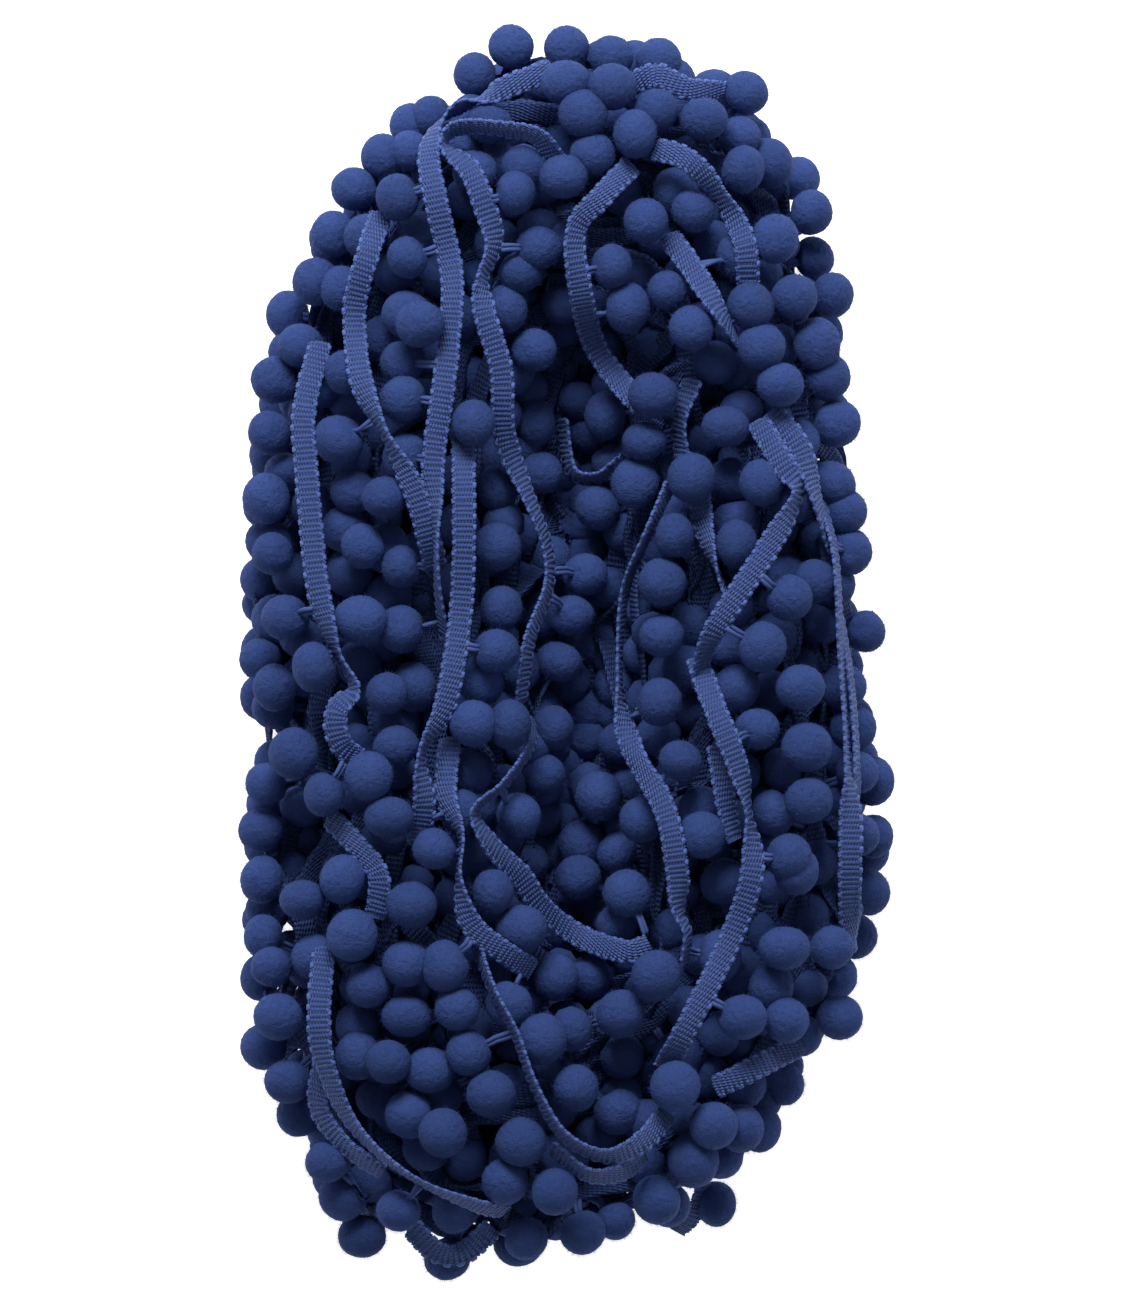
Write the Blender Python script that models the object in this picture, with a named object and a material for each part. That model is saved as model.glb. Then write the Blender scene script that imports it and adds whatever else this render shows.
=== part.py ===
"""Pompom fringe trim: one long length of woven tape with felt pompoms, wound into a flat oval skein.

The skein lies on the surface with its long way along Y. Its two limbs are squeezed together, so that the
middle is a narrow valley and not a hole. A few loose stretches of trim lie on top of the wound turns, and
the cut end lies beside the heap. The layout is worked out first, from the sizes and short tables below: the
outline of the heap, the loose stretches, the wound turns, and the pompoms of both packed side by side. The
solids are then made from it. The tables hold millimetres, and everything else is in metres.
"""

import math

import bmesh
import bpy
import numpy as np
from mathutils import Vector

MM = 0.001
TINY = 1e-9
TABLE_MIDDLE = (0.84, -1.04)  # x and y in the tables of the middle of the skein, in millimetres

# The trim.
POMPOM_RADIUS = 0.0050
POMPOM_PITCH = 0.0124
POMPOM_REACH = 0.0096  # from the middle of the tape to the middle of a pompom
TAPE_WIDTH = 0.0052
TAPE_THICKNESS = 0.0014
TAPE_STEP = 0.001

# The heap that the skein makes.
SKEIN_HEIGHT = 0.054
BULGE_HEIGHT = 0.019  # where its side reaches furthest out
SHOULDER_WIDTH = 0.029  # from its side in to its flat top
UNDERCUT = 0.005
SIDE_POWER = 2.4
VALLEY_X = 0.0037
VALLEY_ENDS = (-0.058, 0.062)
VALLEY_DEPTH = 0.022
VALLEY_WIDTH = 0.0115

# How the wound turns wander: waves along a turn, their share of its way out, and their height in millimetres.
TURN_WAVES = (2, 3, 5)
TURN_SWAY = (0.006, 0.02)
TURN_LIFT = (0.4, 1.4)
OUTERMOST_TILT = 30
INNER_TILT = 80

# How the pompoms are packed. Shares are of the sum of two radii, or of the distance still to go.
SEED = 7
PACK_ROUNDS = 90
SEARCH_ROUNDS = 6  # rounds between two searches for neighbours
SEARCH_REACH = 3.2 * POMPOM_RADIUS
TOUCHING = 0.985
LOOSE_GIVE = 0.4  # how far a pompom of a loose stretch gives way to a wound one
HOME_PULL = 0.15
ROOT_PULL = 0.2
LONGEST_REACH = 1.25 * POMPOM_REACH
TAPE_PUSH = 0.3
TAPE_ROOM = 0.0022  # from the middle of a tape to a pompom's surface
UNDER_TAPE = 0.002  # how much sooner a pompom goes below a tape than over it
LONGEST_MOVE = 0.002
HOME_SPREAD = 1.0  # millimetres
LOOSE_RISE = 2.0  # millimetres
LOOSE_SLACK = 3.0  # how far a loose pompom may stand out of the heap, in millimetres
WOUND_SLACK = (-6.0, 1.5)
RADIUS_SPREAD = (0.95, 1.05)
SMOOTHING = 6  # samples of tape at each side over which its height is evened out
TAPE_POINTS = 3  # samples of tape between two points that pompoms keep clear of
LAST_POMPOM_POINTS = (-0.6, 0, 0.6)  # heights of such points in the last pompom, as shares of its radius
RIM_STEP = 0.003
CURVE_PARTS = 24

# The solid of the skein: a core a little inside the heap, with the outermost pompoms and the tape on it.
KNOBS = 272
KNOB_SPACING = 0.0108
KNOBS_APART = 2.6 * POMPOM_RADIUS  # knobs this far apart touch nowhere
KNOB_SWELL = 1.07  # makes a twenty-sided ball as big as a round one
TOP_KNOB_LEAD = 0.0015  # how much sooner a pompom on top is taken than one at the side
CORE_DEPTH = 0.0046
CORE_CORNERS = 34
CORE_SIDE_HEIGHTS = (0, 0.008, 0.019, 0.030, 0.040)
CORE_TOP_SHARES = (0.70, 0.55, 0.38, 0.24, 0.13, 0.05)
STRIP_STEP = 0.016
SHORTEST_STRIP = 0.06
STRIP_DROP = 0.0055
FLOOR_GAP = 0.0004
PIECE_GAP = 0.0004
LOOSE_END_STEPS = 5
LAST_POMPOM_SINK = 0.0002  # how much its underside is flattened
STEM_RADIUS = 0.0011
STEM_SPAN = (-0.2, 0.7)  # shares of the way from the tape's edge to the middle of the pompom
TINY_EDGE = 0.00002

# Colours are linear.
POMPOM_COLOUR = (0.035, 0.065, 0.21)
POMPOM_ROUGHNESS = 0.95
TAPE_COLOUR = (0.045, 0.08, 0.22)
TAPE_ROUGHNESS = 0.85

# The outline of the heap from above, clockwise from the top, at the outer side of its pompoms: x, y.
OUTLINE = (
    (4, 134.5), (22, 132), (40, 125), (49, 109), (56, 97), (60.5, 80), (63, 60), (65.5, 35), (67.5, 12), (67.5, -12),
    (70, -30), (70.5, -46), (66, -62), (65, -80), (51, -95), (41, -110), (25, -123), (8, -130), (-12, -132),
    (-32, -135), (-49, -125), (-58, -106), (-68, -88), (-71, -60), (-70, -35), (-69.5, -12), (-71.5, 12), (-69, 38),
    (-66, 60), (-59, 78), (-52, 95), (-41, 109), (-24, 122), (-13, 134),
)

# Loose stretches of trim on top. Side is where the pompoms are for someone walking along the tape, -1 for left
# and 1 for right. First is the way along the tape to the first pompom. Each point is x, y, the tilt of the
# tape in degrees (at 90 it stands on edge, its pompoms below), and its height over the top of the heap.
STRETCHES = (
    # name, side, first, points
    ("long left", 1, 44, (
        (-2, 125, 0, -5), (-13, 120.5, 0, 0), (-21, 118, 70, 0), (-27, 113, 60, 0), (-28.5, 105, 10, 0),
        (-26, 92, 0, 0), (-23.5, 80, 10, 0), (-24, 67, 20, -1), (-25.5, 55, 0, 0), (-27.5, 40, 0, 0),
        (-27, 25, 75, 0), (-26.5, 12, 75, -1), (-25, 2, 60, -7))),
    ("long middle", -1, 8, (
        (-1, 105, 20, -5), (-6, 111.5, 30, 0), (-15, 113.5, 30, 1), (-23, 112.3, 50, 1), (-25.3, 108.5, 70, 1),
        (-20, 103.5, 10, 0), (-16.5, 95, 0, 0), (-14.5, 87, 40, 0), (-17, 79.5, 60, 0), (-16.5, 72, 0, 0),
        (-13, 60, 0, 0), (-12.3, 46, 0, 0), (-8, 35, 50, 0), (-3.5, 23.5, 65, 0), (-2.8, 14, 65, 0),
        (-7, 2, 60, -1), (-9, -12, 60, -6))),
    ("middle left", -1, 10, (
        (-21.3, 47, 10, -5), (-21, 36, 0, 0), (-21, 20, 0, 0), (-22, 5, 0, 0), (-25, -12, 20, 0),
        (-30, -22, 75, 0), (-29.4, -33, 10, -1), (-31, -42, 10, -6))),
    ("middle loop", -1, 12, (
        (-6, -16, 60, -5), (-7.5, -22, 70, 0), (-12.5, -29, 70, 0), (-18.6, -34.5, 70, 0), (-15, -42, 40, 0),
        (-9, -48.5, 10, 0), (-4, -56, 20, 0), (4, -62, 10, 0), (14, -65, 0, 0), (19, -63, 0, -5))),
    ("left valley", 1, 9, (
        (-24, -19, 10, -5), (-24.8, -31, 10, -1), (-21.5, -40, 75, 0), (-22, -49, 75, 0), (-19.5, -58.5, 10, 0),
        (-11.5, -65.4, 0, -1), (-6, -69, 0, -6))),
    ("outer left", 1, 9, (
        (-39, 94, 0, -5), (-41.5, 85, 0, 0), (-44.5, 73, 0, 0), (-43, 58, 0, 0), (-38, 46.5, 70, 0),
        (-32, 35, 10, 0), (-28.5, 24, 0, -2), (-27, 17, 0, -6))),
    ("rim left", 1, 8, (
        (-52, 66, 0, -4), (-55.3, 51, 0, 0), (-54.5, 36, 0, 0), (-52.3, 14, 0, 0), (-48.5, 0, 70, 0),
        (-44.5, -8, 60, 0), (-48.3, -13, 0, 0), (-47.5, -20, 0, -2), (-43, -24, 0, -6))),
    ("left bit", 1, 30, ((-50, -36, 0, -4), (-44.5, -41.5, 0, -1), (-39.2, -48.5, 10, -1), (-40, -58, 10, -5))),
    ("low rim left", 1, 9, (
        (-51, -64, 0, -4), (-52, -78, 0, 0), (-50.5, -89.5, 30, 0), (-44.5, -102.5, 50, 0), (-32, -113, 50, 0),
        (-19, -119, 40, 0), (-12, -121, 40, -5))),
    ("low rim second", 1, 90, (
        (-51, -88, 20, -4), (-52.5, -98, 30, -3), (-47, -106.5, 40, -3), (-38, -112.5, 40, -5))),
    ("foot", 1, 90, ((-32.5, -125, 10, -9), (-27, -130.5, 10, -6), (-21, -130.5, 10, -6), (-15, -125, 10, -9))),
    ("low loop", 1, 16, (
        (-19, -62, 60, -5), (-14.7, -73, 70, 0), (-10, -82, 70, 0), (-6, -93, 70, 0), (0, -103.5, 60, 0),
        (9, -108.3, 50, 0), (17, -105.5, 20, 0), (23, -99, 10, -5))),
    ("low loop second", 1, 90, ((-2, -107, 50, -5), (5.6, -112.5, 50, -2), (13, -112, 40, -2), (18, -108, 40, -6))),
    ("valley right", -1, 10, (
        (23, 35, 60, -5), (18.5, 25, 70, 0), (13.5, 12, 70, 0), (12.5, -8, 75, 0), (15, -21, 20, 0),
        (22, -34, 0, 0), (24.7, -47, 0, 0), (25, -56, 60, 0), (27, -61, 70, -1), (26, -69, 70, -6))),
    ("wide slant", -1, 22, (
        (42, 49, 0, -4), (47.5, 39.5, 0, 0), (50.5, 33.5, 60, 0), (44.2, 22, 0, 0), (36.7, 10.6, 0, 0),
        (31.5, 2, 30, 0), (29, -8, 70, -5))),
    ("slant second", -1, 90, ((45, 51, 0, -5), (51, 43.5, 10, -1), (54.5, 33, 60, 0), (58, 21, 75, -4))),
    ("long right", -1, 8, (
        (29, -2, 20, -4), (33, -13, 0, 0), (37.7, -25, 20, 0), (40, -35, 75, 0), (40.8, -47, 0, 0),
        (37, -60, 0, 0), (31, -72.5, 0, 0), (25, -84, 10, 0), (22, -90, 10, -6))),
    ("right second", -1, 90, ((33, -21, 70, -4), (35, -31, 70, -2), (37, -41, 70, -4))),
    ("rim right", -1, 12, (
        (56, 32, 70, -5), (58.8, 20, 75, 0), (60, 0, 75, 0), (61.3, -20, 75, 0), (62, -33, 10, 0),
        (62, -54, 10, 0), (62.5, -66, 70, -5))),
    ("rim right second", -1, 90, ((60, 8, 75, -4), (62.5, -8, 75, -1), (63.6, -25, 75, -1), (63, -33, 60, -5))),
    ("top right", -1, 10, (
        (20, 107.5, 0, -4), (27.5, 104.5, 0, 0), (35.2, 95.5, 0, 0), (39.3, 87, 0, 0), (40, 78, 0, -5))),
    ("top middle", -1, 26, (
        (15, 104, 0, -5), (9, 97.5, 0, 0), (3, 90, 30, 0), (3.8, 78, 0, 0), (7, 66, 0, 0), (14, 56, 0, -1),
        (19, 51, 0, -6))),
    ("right bit", -1, 14, ((23, 89, 0, -4), (28.5, 81, 0, 0), (34, 72, 50, 0), (38, 66, 70, -5))),
    ("head", 1, 8, ((13, 121, 30, -5), (20, 124.5, 40, 0), (27, 121.5, 40, 0), (35, 121, 40, -5))),
    ("valley top", 1, 90, ((0, 50, 60, -6), (2, 39, 60, -5), (8, 37.5, 60, -5), (14, 42, 60, -8))),
    ("middle bit", 1, 90, ((28, 58, 0, -6), (25.3, 49, 10, -4), (26, 40, 10, -6))),
    ("middle second", 1, 90, ((29.5, 33, 0, -6), (31.5, 22, 30, -4), (36, 10, 60, -6))),
    ("bottom right", -1, 90, ((33, -94, 0, -5), (41, -90, 0, -2), (52, -85, 0, -5))),
)

# The cut end of the trim beside the heap: x, y and height of the tape's middle, and its last pompom.
LOOSE_END = ((32, -116.5, 7.5), (31, -120, 6), (29, -124, 3.6), (25.6, -127.5, 1.6))
LOOSE_END_TILT = 35

# Hollows between the pompoms on top: x, y, depth and radius.
HOLLOWS = (
    (-21, 86, 6, 8), (29, 87, 6, 8), (31, 45, 7, 8), (-8, 42, 6, 9), (-28, 9, 5, 8), (-42, -2, 6, 8), (-57, -44, 6, 8),
    (26, -5, 6, 8), (46, -36, 7, 7), (31, -58, 7, 9), (-6, -44, 6, 9), (14, -92, 9, 9), (-20, -112, 6, 8),
    (-41, -99, 6, 8), (39, 96, 5, 7), (-44, 70, 5, 7),
)
LAST_POMPOM = (34.4, -121.0)
LAST_POMPOM_RADIUS = 0.0048
LAST_STEM_STATION = 0.0045

# Rows of pompoms that lie on top of the tape that they hang from: how big they are, and the line they follow.
ROWS = (
    # name, size, points
    ("head rim", 1.0, ((-20, 125), (-11, 130.5), (1, 130), (11, 128), (20, 127.5), (32, 121))),
    ("head", 1.05, ((0, 121.5), (11.5, 120.5), (21, 117.5), (31, 112.5), (38, 104))),
    ("head inner", 1.0, ((-8, 104), (5, 114), (15.5, 110), (7, 103))),
    ("shoulder right", 1.02, ((52, 96), (46, 89), (54, 81), (52, 74), (54.5, 64), (46.5, 54), (57.5, 50))),
    ("crest right", 1.0, ((39, 64), (28, 68), (17, 62), (19, 47), (9, 51))),
    ("middle right", 1.02, ((16, 36), (27, 37), (37, 46), (44, 37))),
    ("hip right", 1.07, ((50, 2), (51.5, -8), (53, -22), (54, -33), (50, -46), (48, -63), (39, -79))),
    ("rim right", 1.0, ((60, -62), (61, -79), (50, -80), (46, -93))),
    ("foot right", 1.13, ((24, -94), (35, -102), (28, -110), (21, -118))),
    ("valley foot", 1.06, ((18, -71), (16, -54), (5, -51), (9, -33), (17, -38))),
    ("hip left", 1.05, ((-42, 7), (-52, -3), (-57.5, -22), (-42, -27), (-36, -36), (-27, -42))),
    ("middle left", 1.05, ((-31, -15), (-20, -17), (-10, -16), (-1, -4))),
    ("foot left", 1.06, ((-47, -50), (-34, -55), (-43, -64), (-33, -68), (-22, -76), (-33, -80))),
    ("foot middle", 1.08, ((-38, -89), (-28, -90), (-19, -87), (-14, -97), (-24, -103), (-34, -100))),
    ("foot inner", 1.05, ((-8, -62), (-5, -72), (-3, -84), (2, -94), (12, -80), (21, -72))),
    ("bottom rim", 1.0, ((-50, -110), (-44, -127), (-34, -121), (-25, -131), (-13, -118), (-8, -128), (4, -126))),
    ("bottom", 1.05, ((-9, -106), (-2, -116), (8, -118), (21, -118))),
)

# Wound turns under all of those: how high they lie, and how far out from the valley to the side.
TURN_LAYERS = (
    # height mm, share nearest to the valley, share nearest to the side, turns
    (7, 0.04, 0.86, 8),
    (16, 0.03, 0.88, 8),
    (26, 0.05, 0.87, 8),
    (36, 0.16, 0.82, 7),
    (45, 0.27, 0.74, 6),
)


def from_table(points):
    """Table points in metres about the middle of the skein. Columns after x and y keep their numbers."""
    points = np.array(points, float)
    points[..., :2] = (points[..., :2] - TABLE_MIDDLE) * MM
    return points


def smooth_curve(points, step, closed=False):
    """Catmull-Rom curve through the points, sampled evenly. A point may hold more columns than x, y."""
    knots = np.array(points, float)
    if closed:
        knots = np.vstack([knots[-1], knots, knots[:2]])
    else:
        knots = np.vstack([2 * knots[0] - knots[1], knots, 2 * knots[-1] - knots[-2]])
    t = np.linspace(0, 1, CURVE_PARTS, endpoint=False)[:, None]
    pieces = []
    for a, b, c, d in zip(knots, knots[1:], knots[2:], knots[3:]):
        pieces.append(b + 0.5 * t * (c - a + t * (2 * a - 5 * b + 4 * c - d + t * (3 * (b - c) + d - a))))
    dense = np.vstack(pieces + [knots[-2][None]])
    along = np.concatenate([[0], np.cumsum(np.linalg.norm(np.diff(dense[:, :2], axis=0), axis=1))])
    count = max(int(round(along[-1] / step)), 2)
    stations = np.linspace(0, along[-1], count + 1)[: count if closed else count + 1]
    return np.stack([np.interp(stations, along, column) for column in dense.T], axis=1)


RIM = smooth_curve(from_table(OUTLINE), RIM_STEP, closed=True)
RIM_NEXT = np.roll(RIM, -1, axis=0)


def rim_inset(xy):
    """How far each point is inside the outline, and the unit way in from the outline there."""
    edge = RIM_NEXT - RIM
    gap = xy[:, None] - RIM[None]
    share = np.clip((gap * edge).sum(2) / (edge**2).sum(1), 0, 1)
    gap = gap - share[..., None] * edge
    far = np.sqrt((gap**2).sum(2))
    nearest = far.argmin(1)
    rows = np.arange(len(xy))
    away = gap[rows, nearest]
    edge = edge[nearest]
    inside = np.where(edge[:, 0] * away[:, 1] - edge[:, 1] * away[:, 0] < 0, 1, -1)
    inward = np.stack([edge[:, 1], -edge[:, 0]], axis=1) / np.linalg.norm(edge, axis=1)[:, None]
    return inside * far[rows, nearest], inward


def side_inset(height):
    """How far in from the outline the side of the heap is at each height."""
    rise = np.clip((height - BULGE_HEIGHT) / (SKEIN_HEIGHT - BULGE_HEIGHT), 0, 1)
    fall = np.clip((BULGE_HEIGHT - height) / BULGE_HEIGHT, 0, 1)
    return SHOULDER_WIDTH * (1 - (1 - rise**SIDE_POWER) ** (1 / SIDE_POWER)) + UNDERCUT * fall**2


def heap_top(xy):
    """Height of the top of the heap over each point."""
    inset = np.clip(rim_inset(xy)[0] / SHOULDER_WIDTH, 0, 1)
    dome = BULGE_HEIGHT + (SKEIN_HEIGHT - BULGE_HEIGHT) * (1 - (1 - inset) ** SIDE_POWER) ** (1 / SIDE_POWER)
    past_end = xy[:, 1] - np.clip(xy[:, 1], *VALLEY_ENDS)
    from_valley = np.hypot(xy[:, 0] - VALLEY_X, past_end)
    top = dome - VALLEY_DEPTH * np.exp(-((from_valley / VALLEY_WIDTH) ** 2))
    for x, y, depth, radius in from_table(HOLLOWS):
        from_hollow = np.hypot(xy[:, 0] - x, xy[:, 1] - y) / (radius * MM)
        top -= depth * MM * np.exp(-(from_hollow**2))
    return top


class Tape:
    """One stretch of tape: its middle line, its way along, its way towards the pompoms, and its face's way."""

    def __init__(self, middle, side, tilt, first, loose=False, shown=False, size=1.0):
        self.size = size
        self.shown = shown
        self.middle = middle
        self.first = first
        self.loose = loose
        along = np.gradient(middle, axis=0)
        self.along = along / np.linalg.norm(along, axis=1)[:, None]
        level = side * np.stack([self.along[:, 1], -self.along[:, 0], 0 * along[:, 0]], axis=1)
        level /= np.linalg.norm(level, axis=1)[:, None]
        up = side * np.cross(level, self.along)
        lean = np.radians(tilt)[:, None]
        self.out = np.cos(lean) * level - np.sin(lean) * up
        self.face = np.sin(lean) * level + np.cos(lean) * up
        self.level = level
        steps = np.linalg.norm(np.diff(middle, axis=0), axis=1)
        self.length = np.concatenate([[0], np.cumsum(steps)])

    def stations(self):
        """Sample numbers of the tape at which a pompom hangs."""
        places = np.arange(self.first, self.length[-1], POMPOM_PITCH)
        return np.searchsorted(self.length, places).clip(0, len(self.length) - 1)


def loose_tapes():
    tapes = []
    for _, side, first, points in STRETCHES:
        line = smooth_curve(from_table(points), TAPE_STEP)
        top = np.pad(heap_top(line[:, :2]), SMOOTHING, mode="edge")
        even = np.ones(2 * SMOOTHING + 1) / (2 * SMOOTHING + 1)
        height = np.convolve(top, even, mode="valid") + line[:, 3] * MM
        middle = np.column_stack([line[:, :2], height])
        tapes.append(Tape(middle, side, line[:, 2], first * MM, loose=True, shown=True))
    return tapes


def row_tapes():
    """The tapes that lie under the rows of pompoms."""
    tapes = []
    for _, size, points in ROWS:
        line = smooth_curve(from_table(points), TAPE_STEP)
        middle = np.column_stack([line, heap_top(line) - POMPOM_RADIUS - POMPOM_REACH])
        tapes.append(Tape(middle, 1, np.full(len(line), -90), 0, loose=True, size=size))
    return tapes


def turn_waves(around, sizes, rng):
    waves = np.zeros(len(around))
    for count in TURN_WAVES:
        waves += rng.uniform(*sizes) * np.sin(count * around + rng.uniform(0, 2 * math.pi))
    return waves


def wound_tapes(rng):
    """The turns that the skein is wound of, in layers."""
    spine = np.stack([np.full(len(RIM), VALLEY_X), np.clip(RIM[:, 1], *VALLEY_ENDS)], axis=1)
    around = np.linspace(0, 2 * math.pi, len(RIM), endpoint=False)
    tapes = []
    for height, near, far, turns in TURN_LAYERS:
        for turn in range(turns):
            share = near + (far - near) * turn / (turns - 1)
            sway = turn_waves(around, TURN_SWAY, rng)
            lift = turn_waves(around, TURN_LIFT, rng)
            line = spine + (RIM - spine) * (share + sway)[:, None]
            middle = np.column_stack([line, (height + lift) * MM])
            middle = np.roll(middle, rng.integers(len(RIM)), axis=0)
            outermost = turn == turns - 1
            side = -1 if outermost else rng.choice((-1, 1))
            most = OUTERMOST_TILT if outermost else INNER_TILT
            tilt = np.full(len(RIM), rng.uniform(-most, most))
            tapes.append(Tape(middle, side, tilt, rng.uniform(0, POMPOM_PITCH)))
    return tapes


def hang_pompoms(tapes, rng):
    """Where each pompom would be if it had the room, the tape point that it hangs from, and its tape."""
    homes, roots, owners = [], [], []
    for number, tape in enumerate(tapes):
        for station in tape.stations():
            reach = tape.level[station] if tape.shown else tape.out[station]
            home = tape.middle[station] + POMPOM_REACH * reach
            home += rng.uniform(-HOME_SPREAD, HOME_SPREAD, 3) * MM
            if tape.loose:
                home[2] = heap_top(home[None, :2])[0] - POMPOM_RADIUS + rng.uniform(0, LOOSE_RISE) * MM
            homes.append(home)
            roots.append(tape.middle[station])
            owners.append(number)
    return np.array(homes), np.array(roots), np.array(owners)


def keep_in_heap(centres, slack):
    """Moves each pompom in until it lies inside the heap and over the floor. Slack lets it stand out a little."""
    inset, inward = rim_inset(centres[:, :2])
    short = POMPOM_RADIUS - slack + side_inset(centres[:, 2]) - inset
    centres[:, :2] += inward * np.clip(short, 0, LONGEST_MOVE)[:, None]
    ceiling = heap_top(centres[:, :2]) - POMPOM_RADIUS + slack
    centres[:, 2] = np.maximum(np.minimum(centres[:, 2], ceiling), POMPOM_RADIUS)


def loose_end_tape():
    line = smooth_curve(from_table(LOOSE_END), TAPE_STEP / 2) * (1, 1, MM)
    return Tape(line, -1, np.full(len(line), LOOSE_END_TILT), LAST_STEM_STATION, shown=True)


def neighbours(centres, others, reach):
    """Numbers of the pairs of a centre and another point that are within reach."""
    return np.nonzero(((centres[:, None] - others[None]) ** 2).sum(2) < reach**2)


def tape_points(tapes):
    """Points along the tapes on top, and on the loose end, that pompoms keep clear of."""
    loose_end = loose_end_tape().middle[:: 2 * TAPE_POINTS]
    last = np.array([*from_table(LAST_POMPOM), LAST_POMPOM_RADIUS])
    last = last + [(0, 0, share * LAST_POMPOM_RADIUS) for share in LAST_POMPOM_POINTS]
    return np.vstack([tape.middle[::TAPE_POINTS] for tape in tapes if tape.loose] + [loose_end, last])


def pack_pompoms(tapes, rng):
    """Spreads the pompoms until they lie side by side, below the loose tapes and inside the heap."""
    homes, roots, owners = hang_pompoms(tapes, rng)
    loose = np.array([tapes[owner].loose for owner in owners])
    radii = POMPOM_RADIUS * rng.uniform(*RADIUS_SPREAD, len(homes))
    radii *= np.array([tapes[owner].size for owner in owners])
    slack = np.where(loose, LOOSE_SLACK, rng.uniform(*WOUND_SLACK, len(homes))) * MM
    bars = tape_points(tapes)
    centres = homes.copy()
    for turn in range(PACK_ROUNDS):
        if turn % SEARCH_ROUNDS == 0:
            first, second = neighbours(centres, centres, SEARCH_REACH)
            first, second = first[first < second], second[first < second]
            ball, bar = neighbours(centres, bars, SEARCH_REACH)
        gap = centres[first] - centres[second]
        far = np.linalg.norm(gap, axis=1) + TINY
        push = 0.5 * np.clip(TOUCHING * (radii[first] + radii[second]) - far, 0, None) / far
        give = np.where(loose[first] & ~loose[second], LOOSE_GIVE, 1.0)
        take = np.where(loose[second] & ~loose[first], LOOSE_GIVE, 1.0)
        np.add.at(centres, first, (give * push)[:, None] * gap)
        np.add.at(centres, second, -(take * push)[:, None] * gap)
        gap = centres[ball] - bars[bar] - (0, 0, UNDER_TAPE)
        far = np.linalg.norm(gap, axis=1) + TINY
        push = TAPE_PUSH * np.clip(radii[ball] + TAPE_ROOM - far, 0, None) / far
        np.add.at(centres, ball, push[:, None] * gap)
        centres[loose] += HOME_PULL * (homes[loose] - centres[loose])
        tether = centres - roots
        far = np.linalg.norm(tether, axis=1)[:, None]
        centres -= ROOT_PULL * tether * np.clip(1 - LONGEST_REACH / far, 0, None)
        keep_in_heap(centres, slack)
    return centres, radii, roots, owners


def knob_choice(centres, radii, tapes, owners):
    """Numbers of the pompoms that stand out of the heap most, a little apart, as many as there are knobs."""
    inset = rim_inset(centres[:, :2])[0] - side_inset(centres[:, 2]) - radii
    under = heap_top(centres[:, :2]) - centres[:, 2] - radii
    on_top = np.array([tapes[owner].loose for owner in owners])
    chosen = []
    for number in np.argsort(np.minimum(inset, under) - TOP_KNOB_LEAD * on_top):
        gaps = np.linalg.norm(centres[chosen] - centres[number], axis=1)
        if gaps.min(initial=np.inf) > KNOB_SPACING:
            chosen.append(number)
    return np.array(chosen[:KNOBS])


def new_object(name, mesh_builder):
    mesh = bpy.data.meshes.new(name)
    mesh_builder.to_mesh(mesh)
    mesh_builder.free()
    made = bpy.data.objects.new(name, mesh)
    bpy.context.collection.objects.link(made)
    return made


def new_helper(name, mesh_builder):
    """An object that only a Boolean uses."""
    made = new_object(name, mesh_builder)
    made.hide_render = True
    made.display_type = "WIRE"
    return made


def core_mesh():
    """The body of the heap: rings from its flat foot up over its side and down into its valley."""
    built = bmesh.new()
    corners = RIM[:: len(RIM) // CORE_CORNERS]
    spine = np.stack([np.full(len(corners), VALLEY_X), np.clip(corners[:, 1], *VALLEY_ENDS)], axis=1)
    reach = np.linalg.norm(corners - spine, axis=1)
    rings = []
    for height in CORE_SIDE_HEIGHTS:
        share = 1 - (side_inset(np.array([height])) + CORE_DEPTH) / reach
        ring = spine + (corners - spine) * share[:, None]
        rings.append(np.column_stack([ring, np.full(len(ring), height)]))
    for share in CORE_TOP_SHARES:
        ring = spine + (corners - spine) * share
        rings.append(np.column_stack([ring, heap_top(ring) - CORE_DEPTH]))
    rows = [[built.verts.new(point) for point in ring] for ring in rings]
    for lower, upper in zip(rows, rows[1:]):
        for here in range(len(lower)):
            after = (here + 1) % len(lower)
            built.faces.new((lower[here], upper[here], upper[after], lower[after]))
    built.faces.new(rows[0])
    built.faces.new(rows[-1][::-1])
    bmesh.ops.triangulate(built, faces=built.faces[:])
    bmesh.ops.recalc_face_normals(built, faces=built.faces[:])
    return built


def knob_mesh(places):
    """Pompoms as twenty-sided balls, level at the floor. Places are pairs of a centre and a radius."""
    built = bmesh.new()
    for centre, radius in places:
        ball = bmesh.ops.create_icosphere(built, subdivisions=1, radius=radius * KNOB_SWELL)["verts"]
        bmesh.ops.translate(built, vec=centre, verts=ball)
        for corner in ball:
            corner.co.z = max(corner.co.z, FLOOR_GAP)
    return built


def apart_groups(centres):
    """Splits the pompoms into groups in which none touches another."""
    groups = []
    for number, centre in enumerate(centres):
        for group in groups:
            if np.linalg.norm(centres[group] - centre, axis=1).min() > KNOBS_APART:
                group.append(number)
                break
        else:
            groups.append([number])
    return groups


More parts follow.
